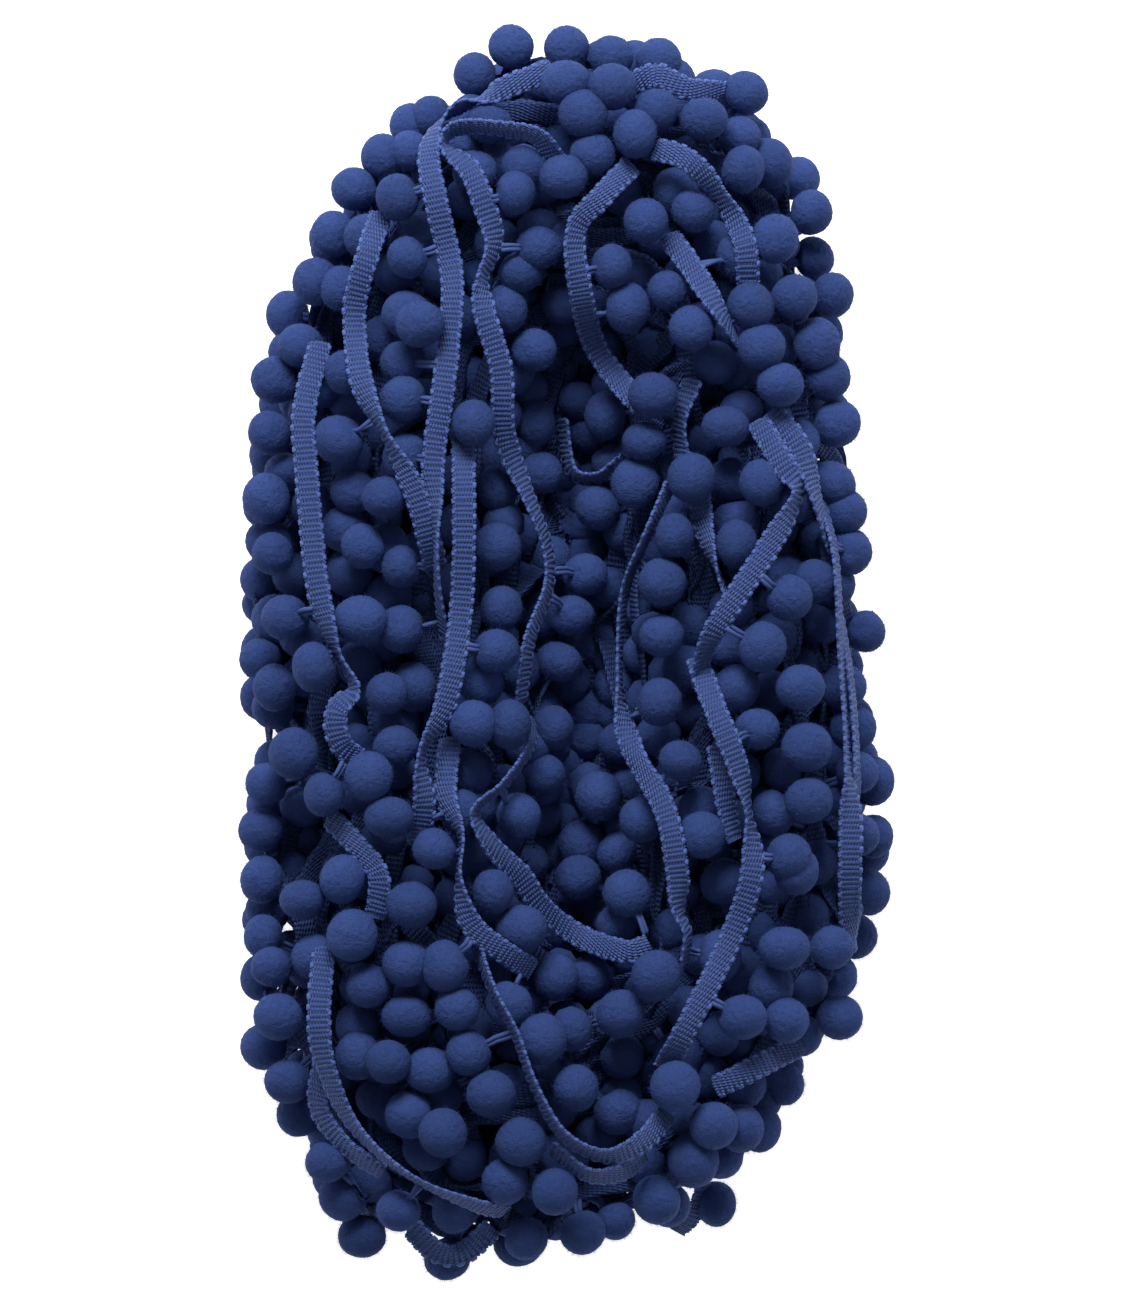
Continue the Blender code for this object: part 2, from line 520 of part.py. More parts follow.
def strip_mesh(tape):
    """A stretch of tape as a ridge, whose sides go down into the core."""
    built = bmesh.new()
    picks = np.linspace(0, len(tape.middle) - 1, max(int(tape.length[-1] / STRIP_STEP), 2) + 1).astype(int)
    rows = []
    for pick in picks:
        edges = [tape.middle[pick] + side * TAPE_WIDTH / 2 * tape.out[pick] for side in (-1, 1)]
        edges += [edge - (0, 0, STRIP_DROP) for edge in edges[::-1]]
        rows.append([built.verts.new((x, y, max(z, FLOOR_GAP))) for x, y, z in edges])
    for lower, upper in zip(rows, rows[1:]):
        for here in range(4):
            after = (here + 1) % 4
            built.faces.new((lower[here], lower[after], upper[after], upper[here]))
    built.faces.new(rows[0][::-1])
    built.faces.new(rows[-1])
    bmesh.ops.triangulate(built, faces=built.faces[:])
    bmesh.ops.recalc_face_normals(built, faces=built.faces[:])
    return built


def add_boolean(body, other, operation):
    change = body.modifiers.new(other.name, "BOOLEAN")
    change.operation = operation
    change.object = other
    change.solver = "EXACT"


def apply_modifiers(body):
    bpy.context.view_layer.update()
    evaluated = body.evaluated_get(bpy.context.evaluated_depsgraph_get())
    solid = bpy.data.meshes.new_from_object(evaluated)
    body.modifiers.clear()
    body.data = solid


def main_shell(built):
    """Corners of the largest connected surface."""
    left = set(built.verts)
    largest = set()
    while left:
        shell = {left.pop()}
        edge_of_shell = list(shell)
        while edge_of_shell:
            corner = edge_of_shell.pop()
            found = {edge.other_vert(corner) for edge in corner.link_edges} & left
            left -= found
            shell |= found
            edge_of_shell.extend(found)
        largest = max(largest, shell, key=len)
    return largest


def clean_union(body):
    """Merges points that a union leaves almost on top of each other, and drops knobs that it leaves apart."""
    built = bmesh.new()
    built.from_mesh(body.data)
    bmesh.ops.remove_doubles(built, verts=built.verts[:], dist=TINY_EDGE)
    kept = main_shell(built)
    apart = [corner for corner in built.verts if corner not in kept]
    bmesh.ops.delete(built, geom=apart, context="VERTS")
    bmesh.ops.triangulate(built, faces=built.faces[:])
    built.to_mesh(body.data)
    built.free()


def cloth_material(name, colour, roughness):
    made = bpy.data.materials.new(name)
    made.use_nodes = True
    surface = made.node_tree.nodes["Principled BSDF"]
    surface.inputs["Base Color"].default_value = (*colour, 1)
    surface.inputs["Roughness"].default_value = roughness
    surface.inputs["Metallic"].default_value = 0
    made.diffuse_color = (*colour, 1)
    return made


def bar_mesh(tape, swell):
    """The cut end as a flat bar of tape, made bigger all round by the swell."""
    built = bmesh.new()
    rows = []
    picks = np.linspace(0, len(tape.middle) - 1, LOOSE_END_STEPS + 1).astype(int)
    for place, pick in enumerate(picks):
        middle = tape.middle[pick] + swell * tape.along[pick] * ((place == LOOSE_END_STEPS) - (place == 0))
        across = (TAPE_WIDTH / 2 + swell) * tape.out[pick]
        up = (TAPE_THICKNESS / 2 + swell) * tape.face[pick]
        corners = (middle - across - up, middle + across - up, middle + across + up, middle - across + up)
        rows.append([built.verts.new((x, y, max(z, 0))) for x, y, z in corners])
    for lower, upper in zip(rows, rows[1:]):
        for here in range(4):
            after = (here + 1) % 4
            built.faces.new((lower[here], lower[after], upper[after], upper[here]))
    built.faces.new(rows[0][::-1])
    built.faces.new(rows[-1])
    bmesh.ops.recalc_face_normals(built, faces=built.faces[:])
    return built


def ball_mesh(centre, radius, floor):
    built = bmesh.new()
    ball = bmesh.ops.create_icosphere(built, subdivisions=2, radius=radius)["verts"]
    bmesh.ops.translate(built, vec=centre, verts=ball)
    for corner in ball:
        corner.co.z = max(corner.co.z, floor)
    return built


def stem_mesh(start, end, radius):
    """The drawn-out loop that a pompom hangs from, as a bar of four sides."""
    built = bmesh.new()
    way = Vector(end) - Vector(start)
    bmesh.ops.create_cone(built, cap_ends=True, segments=4, radius1=radius, radius2=radius, depth=way.length)
    bmesh.ops.transform(built, matrix=way.to_track_quat("Z", "Y").to_matrix().to_4x4(), verts=built.verts[:])
    bmesh.ops.translate(built, vec=(Vector(start) + Vector(end)) / 2, verts=built.verts[:])
    return built


def build_loose_end(name, swell):
    """The cut end of the tape with its last pompom. With a swell it is the room that it needs."""
    tape = loose_end_tape()
    station = tape.stations()[0]
    centre = np.array([*from_table(LAST_POMPOM), LAST_POMPOM_RADIUS - LAST_POMPOM_SINK])
    made = new_object(name, bar_mesh(tape, swell))
    ball = ball_mesh(centre, LAST_POMPOM_RADIUS + swell, 0)
    add_boolean(made, new_helper(name + "_ball", ball), "UNION")
    root = tape.middle[station] + TAPE_WIDTH / 2 * tape.out[station]
    start, end = [root + share * (centre - root) for share in STEM_SPAN]
    stem = stem_mesh(start, end, STEM_RADIUS + swell)
    add_boolean(made, new_helper(name + "_stem", stem), "UNION")
    apply_modifiers(made)
    clean_union(made)
    return made


def build_hank(tapes, centres, radii, owners):
    hank = new_object("hank", core_mesh())
    chosen = knob_choice(centres, radii, tapes, owners)
    for number, group in enumerate(apart_groups(centres[chosen])):
        places = [(centres[chosen[one]], radii[chosen[one]]) for one in group]
        add_boolean(hank, new_helper(f"knobs_{number}", knob_mesh(places)), "UNION")
    for number, tape in enumerate(tapes):
        if tape.shown and tape.length[-1] > SHORTEST_STRIP:
            add_boolean(hank, new_helper(f"strip_{number}", strip_mesh(tape)), "UNION")
    return hank


def main():
    for old in list(bpy.data.objects):
        bpy.data.objects.remove(old, do_unlink=True)
    rng = np.random.default_rng(SEED)
    tapes = loose_tapes() + row_tapes() + wound_tapes(rng)
    centres, radii, _, owners = pack_pompoms(tapes, rng)
    hank = build_hank(tapes, centres, radii, owners)
    room = build_loose_end("loose_end_room", PIECE_GAP)
    room.hide_render = True
    room.display_type = "WIRE"
    add_boolean(hank, room, "DIFFERENCE")
    apply_modifiers(hank)
    clean_union(hank)
    hank.data.materials.append(cloth_material("pompom_felt", POMPOM_COLOUR, POMPOM_ROUGHNESS))
    loose_end = build_loose_end("loose_end", 0)
    loose_end.data.materials.append(cloth_material("woven_tape", TAPE_COLOUR, TAPE_ROUGHNESS))


main()
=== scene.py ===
"""Pompom fringe trim, dressed: a skein of navy pompom fringe lying on a white surface, seen from above.

The skein's layout is worked out as in the part's own script, from the same sizes and tables: the outline of
the heap, the loose stretches on top, the wound turns beneath, and the pompoms of all packed side by side.
Then the pompoms that show take the places in SEEN, others too near to the top are left out, the loose
stretches lean as LEANS says, and more pompoms low in the heap hide the floor. The trim is made as it really
is: yarn pompoms with a short fuzz, stems of two strands, and a tape whose weft cord turns back in a loop at
both edges over a thin web. The tables hold millimetres, all else is metres.
"""

import math

import bmesh
import bpy
import numpy as np
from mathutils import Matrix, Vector


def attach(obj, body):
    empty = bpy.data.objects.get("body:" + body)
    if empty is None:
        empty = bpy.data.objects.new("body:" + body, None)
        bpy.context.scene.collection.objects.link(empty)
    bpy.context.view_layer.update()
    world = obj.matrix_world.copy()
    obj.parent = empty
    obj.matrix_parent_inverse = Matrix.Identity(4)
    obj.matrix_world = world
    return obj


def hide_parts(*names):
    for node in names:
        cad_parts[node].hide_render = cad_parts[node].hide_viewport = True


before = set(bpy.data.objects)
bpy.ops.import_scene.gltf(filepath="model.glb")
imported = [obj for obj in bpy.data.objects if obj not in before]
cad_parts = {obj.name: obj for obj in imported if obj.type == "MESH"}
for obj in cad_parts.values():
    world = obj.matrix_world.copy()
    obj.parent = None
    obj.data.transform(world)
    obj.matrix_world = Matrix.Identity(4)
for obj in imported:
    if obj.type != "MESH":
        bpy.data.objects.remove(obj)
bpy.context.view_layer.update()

MM = 0.001
TINY = 1e-9
UNIT_GUARD = 1e-12  # keeps a way of no length from being divided by nothing
TABLE_MIDDLE = (0.84, -1.04)  # x and y in the tables of the middle of the skein, in millimetres

# The trim.
POMPOM_RADIUS = 0.0050
POMPOM_PITCH = 0.0124
POMPOM_REACH = 0.0096  # from the middle of the tape to the middle of a pompom
TAPE_WIDTH = 0.0052
TAPE_STEP = 0.001

# The heap that the skein makes.
SKEIN_HEIGHT = 0.054
BULGE_HEIGHT = 0.019  # where its side reaches furthest out
SHOULDER_WIDTH = 0.029  # from its side in to its flat top
UNDERCUT = 0.005
SIDE_POWER = 2.4
VALLEY_X = 0.0037
VALLEY_ENDS = (-0.058, 0.062)
VALLEY_DEPTH = 0.022
VALLEY_WIDTH = 0.0115

# How the wound turns wander: waves along a turn, their share of its way out, and their height in millimetres.
TURN_WAVES = (2, 3, 5)
TURN_SWAY = (0.006, 0.02)
TURN_LIFT = (0.4, 1.4)
OUTERMOST_TILT = 30
INNER_TILT = 80
UPRIGHT = -90  # the tilt of a tape on edge, its pompoms above

# How the pompoms are packed. Shares are of the sum of two radii, or of the distance still to go.
SEED = 7
PACK_ROUNDS = 90
SEARCH_ROUNDS = 6  # rounds between two searches for neighbours
SEARCH_REACH = 3.2 * POMPOM_RADIUS
TOUCHING = 0.985
LOOSE_GIVE = 0.4  # how far a pompom of a loose stretch gives way to a wound one
HOME_PULL = 0.15
ROOT_PULL = 0.2
LONGEST_REACH = 1.25 * POMPOM_REACH
TAPE_PUSH = 0.3
TAPE_ROOM = 0.0022  # from the middle of a tape to a pompom's surface
UNDER_TAPE = 0.002  # how much sooner a pompom goes below a tape than over it
LONGEST_MOVE = 0.002
HOME_SPREAD = 1.0  # millimetres
LOOSE_RISE = 2.0  # millimetres
LOOSE_SLACK = 3.0  # how far a loose pompom may stand out of the heap, in millimetres
WOUND_SLACK = (-6.0, 1.5)
RADIUS_SPREAD = (0.95, 1.05)
SMOOTHING = 6  # samples of tape at each side over which its height is evened out
TAPE_POINTS = 3  # samples of tape between two points that pompoms keep clear of
LAST_POMPOM_POINTS = (-0.6, 0, 0.6)  # heights of such points in the last pompom, as shares of its radius
RIM_STEP = 0.003
CURVE_PARTS = 24

# Routes of the wound turns: places tried for each stem's root, and the room it wants from every pompom.
ROUTE_TRIES = 28
ROUTE_CLEARANCE = 0.0066
ROUTE_INSET = 0.005
ROUTE_FLOOR = 0.003
ROUTE_DIVE = 0.6  # how steeply a high pompom's root goes below it
ROUTE_COSTS = (3, 2, 0.3, 0.8)  # of being crowded, out of the heap or away from home, and of a bend
ROUTE_ROUNDS = 8

# Which pompoms show, and where.
SEEN_RISE = 0.8  # millimetres over the top of the heap
SEEN_DEPTH = 0.0140  # no other pompoms lie nearer to the top than this, but at the sides
SIDE_BAND = 0.011
SEEN_ROOM = 0.0085
DEEP_ROOM = 0.6 * SEEN_ROOM
HEIGHT_SHARE = 0.5  # how much a height counts when the pompom nearest to a place is looked for
FILLER_SPAN = 0.14
FILLER_STEP = 0.0058
FILLER_SHIFT = 0.3 * FILLER_STEP  # of each layer against the one below
FILLER_RISE = 1.05  # of each layer, in pompom radii
FILLER_INSET = 3 * POMPOM_RADIUS
FILLER_ROOM = 0.0050
FILLER_LAYERS = 3
RIBBON_DEPTH = 0.0165  # how deep under the top the hidden tapes stay
CELLS = 320  # of a millimetre, over the skein, that tell how much of a pompom shows
CELL_REACH = 6
SHOWING_CELLS = 4
INSET_SCORE = 100
TAPE_GAP = 0.0003  # from the middle of a loose tape to a pompom
TAPE_LINES = (-0.35, 0, 0.35)  # lines along a tape that pompoms keep off, as shares of its width
CLEAR_ROUNDS = 4
LOOSE_END_MOVE = (-0.0004, -0.0015)  # the loose end lies a little further out than its table says

# Pompoms. The ones that show most are the finest.
FINE_POMPOMS = 260
MEDIUM_POMPOMS = 500
BALL_LEVELS = (3, 3, 2)  # how finely the fine, medium and other pompoms are divided
LAST_BALL_LEVEL = 4
TINTS = (0.05, 0.95)
OUT_OF_ROUND = 0.045
LUMPS = 4
LUMP_SIZE = (0.003, 0.011)  # as a share of the radius
LUMP_START = 7
DRAWN_IN = 0.08  # the most that a pompom is flattened towards its stem
STEM_DIMPLE = 0.14
DIMPLE_WIDTH = 0.05
FUZZ_HAIRS = (900, 150)  # on a pompom that shows much, and on another
FUZZ_LENGTH = (0.0003, 0.0012)
FUZZ_WIDTH = 0.00008
FUZZ_LEAN = 0.6
LAST_SINK = 0.0002  # how far the last pompom is pressed down

# Weave of the tape.
RIB_PITCH = POMPOM_PITCH / 11
RIB_WANDER = 0.07
WEFT_WIDTH = 0.00112
WEFT_THICKNESS = 0.00080
WEFT_SIDES = 6
WEFT_STEPS = (-0.84, -0.3, 0.3, 0.84)  # points of the weft across the tape, as shares of its reach
LOOP_STEPS = (0.28, 0.72)  # points of the weft's loop at the edge, as shares of the rib pitch
CORD_TIP = 0.1  # how thick a cord is at its very ends
WEB_THICKNESS = 0.00050
WEB_WIDTH = 0.00400
TOOTH = 0.00056
WARP_PITCH = 0.00066
RIBBON_THICKNESS = 0.0010
RIBBON_STEP = 3 * RIB_PITCH
RIBBON_SECTION = ((-1, 0), (-0.6, 1), (0.6, 1), (1, 0), (0.6, -1), (-0.6, -1))  # shares of the half sizes
WEB_SECTION = ((-1, -1), (-1, 1), (1, 1), (1, -1))
SCALLOP = 0.00030
WAVE_UNIT = 0.31416  # length of one wave of the wave texture at a scale of one
WAVE_DISTORTION = 0.3
PAINTED_EDGE_HIGHLIGHT_BAND = (0.62, 0.85)  # where the painted highlight along a tape's edges begins and is full, as shares of its half width

# Stems.
STRAND = 0.00108
STRAND_SIDES = 5
STRAND_SPREAD = 0.00105
STRAND_CROSSINGS = (-0.5, 0.7, 0.7)  # how far apart the strands end, crossed where below nothing
STEM_START = 0.38 * TAPE_WIDTH
STEM_END = 0.7  # inside the pompom, as a share of its radius
STEM_POINTS = (0, 0.06, 0.5, 0.93, 1)
STEM_TWIST = 0.25
STEM_SAG = 0.0003
LONGEST_STEM = 0.0080

# Studio.
PICTURE = (1146, 1298)
PIXELS_PER_METRE = 4600
PICTURE_MIDDLE = (0.00155, 0.00126)
CAMERA_HEIGHT = 1.5
FOCUS_HEIGHT = 0.030
SENSOR = 36

ROOM_LIGHT = 0.22
FLOOR_GLOW = 0.88
FLOOR_HALF = 3.0
LAMPS = (
    # name, place, what it points at, its size, power
    ("key", (-0.08, 0.74, 0.66), (0, 0, 0.03), (0.55, 0.32), 10.8),
    ("fill_left", (-1.1, 0.0, 0.8), (0, 0, 0.02), (0.8, 1.2), 0.9),
    ("fill_right", (1.1, 0.1, 0.8), (0, 0, 0.02), (0.8, 1.2), 0.9),
)

# Colours are linear.
FELT_DARK = (0.013, 0.027, 0.100)
FELT_LIGHT = (0.046, 0.088, 0.290)
# The tape's colours: its mottle goes between them, and so do the painted shade in its grooves and the painted
# highlights on its crests, stitches and edges.
TAPE_DARK = (0.012, 0.027, 0.110)
TAPE_LIGHT = (0.086, 0.150, 0.450)
PAINTED_SHADE_OF_WOUND_TAPE = 0.6  # painted shade: the share of the loose tapes' colours that the hidden tapes deep in the heap are given
FELT_SHEEN = (0.22, 0.38, 0.95, 1)
TAPE_SHEEN = (0.3, 0.45, 0.95, 1)
FLOOR_TONES = ((0.86, 0.865, 0.87), (0.88, 0.885, 0.89))
ROOM_COLOUR = (1, 0.99, 0.97, 1)

# Grain of the materials: the scale and the detail of a noise.
FELT_MOTTLE = (300, 3)
FELT_LUMPS = (800, 2)
FELT_GRAIN = (2400, 2)
FELT_FIBRES = (2900, 3)
TAPE_MOTTLE = (700, 3)
TAPE_FIBRES = (4200, 2)
FLOOR_GRAIN = (40, 2)

# Their bumps: strength, and height in metres.
FELT_LUMP_BUMP = (0.6, 0.0008)
FELT_FIBRE_BUMP = (0.8, 0.00028)
RIB_BUMP = (0.8, 0.0004)
STITCH_BUMP = (1.0, 0.00028)
TAPE_FIBRE_BUMP = (0.5, 0.0001)

# How they blend: the share of what is blended in, the thread and edge shares being painted highlights and
# shade, and where along a wave a thread's painted highlight begins and is full.
TINT_SHARE = 0.5
GRAIN_SHARE = 0.45
PAINTED_THREAD_LIGHT_SHARE = 0.75
PAINTED_EDGE_HIGHLIGHT_SHARE = 0.35
PAINTED_STITCH_LIGHT_BAND = (0.3, 0.8)
PAINTED_CREST_LIGHT_BAND = (0.1, 0.5)

# The outline of the heap from above, clockwise from the top, at the outer side of its pompoms: x, y.
OUTLINE = (
    (4, 134.5), (22, 132), (40, 125), (49, 109), (56, 97), (60.5, 80), (63, 60), (65.5, 35), (67.5, 12),
    (67.5, -12), (70, -30), (70.5, -46), (66, -62), (65, -80), (51, -95), (41, -110), (25, -123), (8, -130),
    (-12, -132), (-32, -135), (-49, -125), (-58, -106), (-68, -88), (-71, -60), (-70, -35), (-69.5, -12),
    (-71.5, 12), (-69, 38), (-66, 60), (-59, 78), (-52, 95), (-41, 109), (-24, 122), (-13, 134),
)

# Loose stretches of trim on top. Side is where the pompoms are for someone who walks along the tape: -1 for
# left and 1 for right. First is the way along the tape to the first pompom. Each point is x, y, the tilt of
# the tape in degrees (at 90 it stands on edge, its pompoms below), and its height over the top of the heap.
STRETCHES = (
    # name, side, first, points
    ("long left", 1, 44, (
        (-2, 125, 0, -5), (-13, 120.5, 0, 0), (-21, 118, 70, 0), (-27, 113, 60, 0), (-28.5, 105, 10, 0),
        (-26, 92, 0, 0), (-23.5, 80, 10, 0), (-24, 67, 20, -1), (-25.5, 55, 0, 0), (-27.5, 40, 0, 0),
        (-27, 25, 75, 0), (-26.5, 12, 75, -1), (-25, 2, 60, -7))),
    ("long middle", -1, 8, (
        (-1, 105, 20, -5), (-6, 111.5, 30, 0), (-15, 113.5, 30, 1), (-23, 112.3, 50, 1),
        (-25.3, 108.5, 70, 1), (-20, 103.5, 10, 0), (-16.5, 95, 0, 0), (-14.5, 87, 40, 0),
        (-17, 79.5, 60, 0), (-16.5, 72, 0, 0), (-13, 60, 0, 0), (-12.3, 46, 0, 0), (-8, 35, 50, 0),
        (-3.5, 23.5, 65, 0), (-2.8, 14, 65, 0), (-7, 2, 60, -1), (-9, -12, 60, -6))),
    ("middle left", -1, 10, (
        (-21.3, 47, 10, -5), (-21, 36, 0, 0), (-21, 20, 0, 0), (-22, 5, 0, 0), (-25, -12, 20, 0),
        (-30, -22, 75, 0), (-29.4, -33, 10, -1), (-31, -42, 10, -6))),
    ("middle loop", -1, 12, (
        (-6, -16, 60, -5), (-7.5, -22, 70, 0), (-12.5, -29, 70, 0), (-18.6, -34.5, 70, 0),
        (-15, -42, 40, 0), (-9, -48.5, 10, 0), (-4, -56, 20, 0), (4, -62, 10, 0), (14, -65, 0, 0),
        (19, -63, 0, -5))),
    ("left valley", 1, 9, (
        (-24, -19, 10, -5), (-24.8, -31, 10, -1), (-21.5, -40, 75, 0), (-22, -49, 75, 0),
        (-19.5, -58.5, 10, 0), (-11.5, -65.4, 0, -1), (-6, -69, 0, -6))),
    ("outer left", 1, 9, (
        (-39, 94, 0, -5), (-41.5, 85, 0, 0), (-44.5, 73, 0, 0), (-43, 58, 0, 0), (-38, 46.5, 70, 0),
        (-32, 35, 10, 0), (-28.5, 24, 0, -2), (-27, 17, 0, -6))),
    ("rim left", 1, 8, (
        (-52, 66, 0, -4), (-55.3, 51, 0, 0), (-54.5, 36, 0, 0), (-52.3, 14, 0, 0), (-48.5, 0, 70, 0),
        (-44.5, -8, 60, 0), (-48.3, -13, 0, 0), (-47.5, -20, 0, -2), (-43, -24, 0, -6))),
    ("left bit", 1, 30, (
        (-50, -36, 0, -4), (-44.5, -41.5, 0, -1), (-39.2, -48.5, 10, -1), (-40, -58, 10, -5))),
    ("low rim left", 1, 9, (
        (-51, -64, 0, -4), (-52, -78, 0, 0), (-50.5, -89.5, 30, 0), (-44.5, -102.5, 50, 0),
        (-32, -113, 50, 0), (-19, -119, 40, 0), (-12, -121, 40, -5))),
    ("low rim second", 1, 90, (
        (-51, -88, 20, -4), (-52.5, -98, 30, -3), (-47, -106.5, 40, -3), (-38, -112.5, 40, -5))),
    ("foot", 1, 90, (
        (-32.5, -125, 10, -9), (-27, -130.5, 10, -6), (-21, -130.5, 10, -6), (-15, -125, 10, -9))),
    ("low loop", 1, 16, (
        (-19, -62, 60, -5), (-14.7, -73, 70, 0), (-10, -82, 70, 0), (-6, -93, 70, 0), (0, -103.5, 60, 0),
        (9, -108.3, 50, 0), (17, -105.5, 20, 0), (23, -99, 10, -5))),
    ("low loop second", 1, 90, (
        (-2, -107, 50, -5), (5.6, -112.5, 50, -2), (13, -112, 40, -2), (18, -108, 40, -6))),
    ("valley right", -1, 10, (
        (23, 35, 60, -5), (18.5, 25, 70, 0), (13.5, 12, 70, 0), (12.5, -8, 75, 0), (15, -21, 20, 0),
        (22, -34, 0, 0), (24.7, -47, 0, 0), (25, -56, 60, 0), (27, -61, 70, -1), (26, -69, 70, -6))),
    ("wide slant", -1, 22, (
        (42, 49, 0, -4), (47.5, 39.5, 0, 0), (50.5, 33.5, 60, 0), (44.2, 22, 0, 0), (36.7, 10.6, 0, 0),
        (31.5, 2, 30, 0), (29, -8, 70, -5))),
    ("slant second", -1, 90, ((45, 51, 0, -5), (51, 43.5, 10, -1), (54.5, 33, 60, 0), (58, 21, 75, -4))),
    ("long right", -1, 8, (
        (29, -2, 20, -4), (33, -13, 0, 0), (37.7, -25, 20, 0), (40, -35, 75, 0), (40.8, -47, 0, 0),
        (37, -60, 0, 0), (31, -72.5, 0, 0), (25, -84, 10, 0), (22, -90, 10, -6))),
    ("right second", -1, 90, ((33, -21, 70, -4), (35, -31, 70, -2), (37, -41, 70, -4))),
    ("rim right", -1, 12, (
        (56, 32, 70, -5), (58.8, 20, 75, 0), (60, 0, 75, 0), (61.3, -20, 75, 0), (62, -33, 10, 0),
        (62, -54, 10, 0), (62.5, -66, 70, -5))),
    ("rim right second", -1, 90, (
        (60, 8, 75, -4), (62.5, -8, 75, -1), (63.6, -25, 75, -1), (63, -33, 60, -5))),
    ("top right", -1, 10, (
        (20, 107.5, 0, -4), (27.5, 104.5, 0, 0), (35.2, 95.5, 0, 0), (39.3, 87, 0, 0), (40, 78, 0, -5))),
    ("top middle", -1, 26, (
        (15, 104, 0, -5), (9, 97.5, 0, 0), (3, 90, 30, 0), (3.8, 78, 0, 0), (7, 66, 0, 0), (14, 56, 0, -1),
        (19, 51, 0, -6))),
    ("right bit", -1, 14, ((23, 89, 0, -4), (28.5, 81, 0, 0), (34, 72, 50, 0), (38, 66, 70, -5))),
    ("head", 1, 8, ((13, 121, 30, -5), (20, 124.5, 40, 0), (27, 121.5, 40, 0), (35, 121, 40, -5))),
    ("valley top", 1, 90, ((0, 50, 60, -6), (2, 39, 60, -5), (8, 37.5, 60, -5), (14, 42, 60, -8))),
    ("middle bit", 1, 90, ((28, 58, 0, -6), (25.3, 49, 10, -4), (26, 40, 10, -6))),
    ("middle second", 1, 90, ((29.5, 33, 0, -6), (31.5, 22, 30, -4), (36, 10, 60, -6))),
    ("bottom right", -1, 90, ((33, -94, 0, -5), (41, -90, 0, -2), (52, -85, 0, -5))),
)

# The cut end of the trim beside the heap: x, y and height of the tape's middle, and its last pompom.
LOOSE_END = ((32, -116.5, 7.5), (31, -120, 6), (29, -124, 3.6), (25.6, -127.5, 1.6))
LOOSE_END_TILT = 35

# Hollows between the pompoms on top: x, y, depth and radius.
HOLLOWS = (
    (-21, 86, 6, 8), (29, 87, 6, 8), (31, 45, 7, 8), (-8, 42, 6, 9), (-28, 9, 5, 8), (-42, -2, 6, 8),
    (-57, -44, 6, 8), (26, -5, 6, 8), (46, -36, 7, 7), (31, -58, 7, 9), (-6, -44, 6, 9), (14, -92, 9, 9),
    (-20, -112, 6, 8), (-41, -99, 6, 8), (39, 96, 5, 7), (-44, 70, 5, 7),
)
LAST_POMPOM = (34.4, -121.0)
LAST_POMPOM_RADIUS = 0.0048
LAST_STEM_STATION = 0.0045

# Rows of pompoms that lie on top of the tape that they hang from: how big they are, and the line they follow.
ROWS = (
    # name, size, points
    ("head rim", 1.0, ((-20, 125), (-11, 130.5), (1, 130), (11, 128), (20, 127.5), (32, 121))),
    ("head", 1.05, ((0, 121.5), (11.5, 120.5), (21, 117.5), (31, 112.5), (38, 104))),
    ("head inner", 1.0, ((-8, 104), (5, 114), (15.5, 110), (7, 103))),
    ("shoulder right", 1.02, ((52, 96), (46, 89), (54, 81), (52, 74), (54.5, 64), (46.5, 54), (57.5, 50))),
    ("crest right", 1.0, ((39, 64), (28, 68), (17, 62), (19, 47), (9, 51))),
    ("middle right", 1.02, ((16, 36), (27, 37), (37, 46), (44, 37))),
    ("hip right", 1.07, ((50, 2), (51.5, -8), (53, -22), (54, -33), (50, -46), (48, -63), (39, -79))),
    ("rim right", 1.0, ((60, -62), (61, -79), (50, -80), (46, -93))),
    ("foot right", 1.13, ((24, -94), (35, -102), (28, -110), (21, -118))),
    ("valley foot", 1.06, ((18, -71), (16, -54), (5, -51), (9, -33), (17, -38))),
    ("hip left", 1.05, ((-42, 7), (-52, -3), (-57.5, -22), (-42, -27), (-36, -36), (-27, -42))),
    ("middle left", 1.05, ((-31, -15), (-20, -17), (-10, -16), (-1, -4))),
    ("foot left", 1.06, ((-47, -50), (-34, -55), (-43, -64), (-33, -68), (-22, -76), (-33, -80))),
    ("foot middle", 1.08, ((-38, -89), (-28, -90), (-19, -87), (-14, -97), (-24, -103), (-34, -100))),
    ("foot inner", 1.05, ((-8, -62), (-5, -72), (-3, -84), (2, -94), (12, -80), (21, -72))),
    ("bottom rim", 1.0, (
        (-50, -110), (-44, -127), (-34, -121), (-25, -131), (-13, -118), (-8, -128), (4, -126))),
    ("bottom", 1.05, ((-9, -106), (-2, -116), (8, -118), (21, -118))),
)

# Wound turns under all of those: how high they lie, and how far out from the valley to the side.
TURN_LAYERS = (
    # height mm, share nearest to the valley, share nearest to the side, turns
    (7, 0.04, 0.86, 8),
    (16, 0.03, 0.88, 8),
    (26, 0.05, 0.87, 8),
    (36, 0.16, 0.82, 7),
    (45, 0.27, 0.74, 6),
)


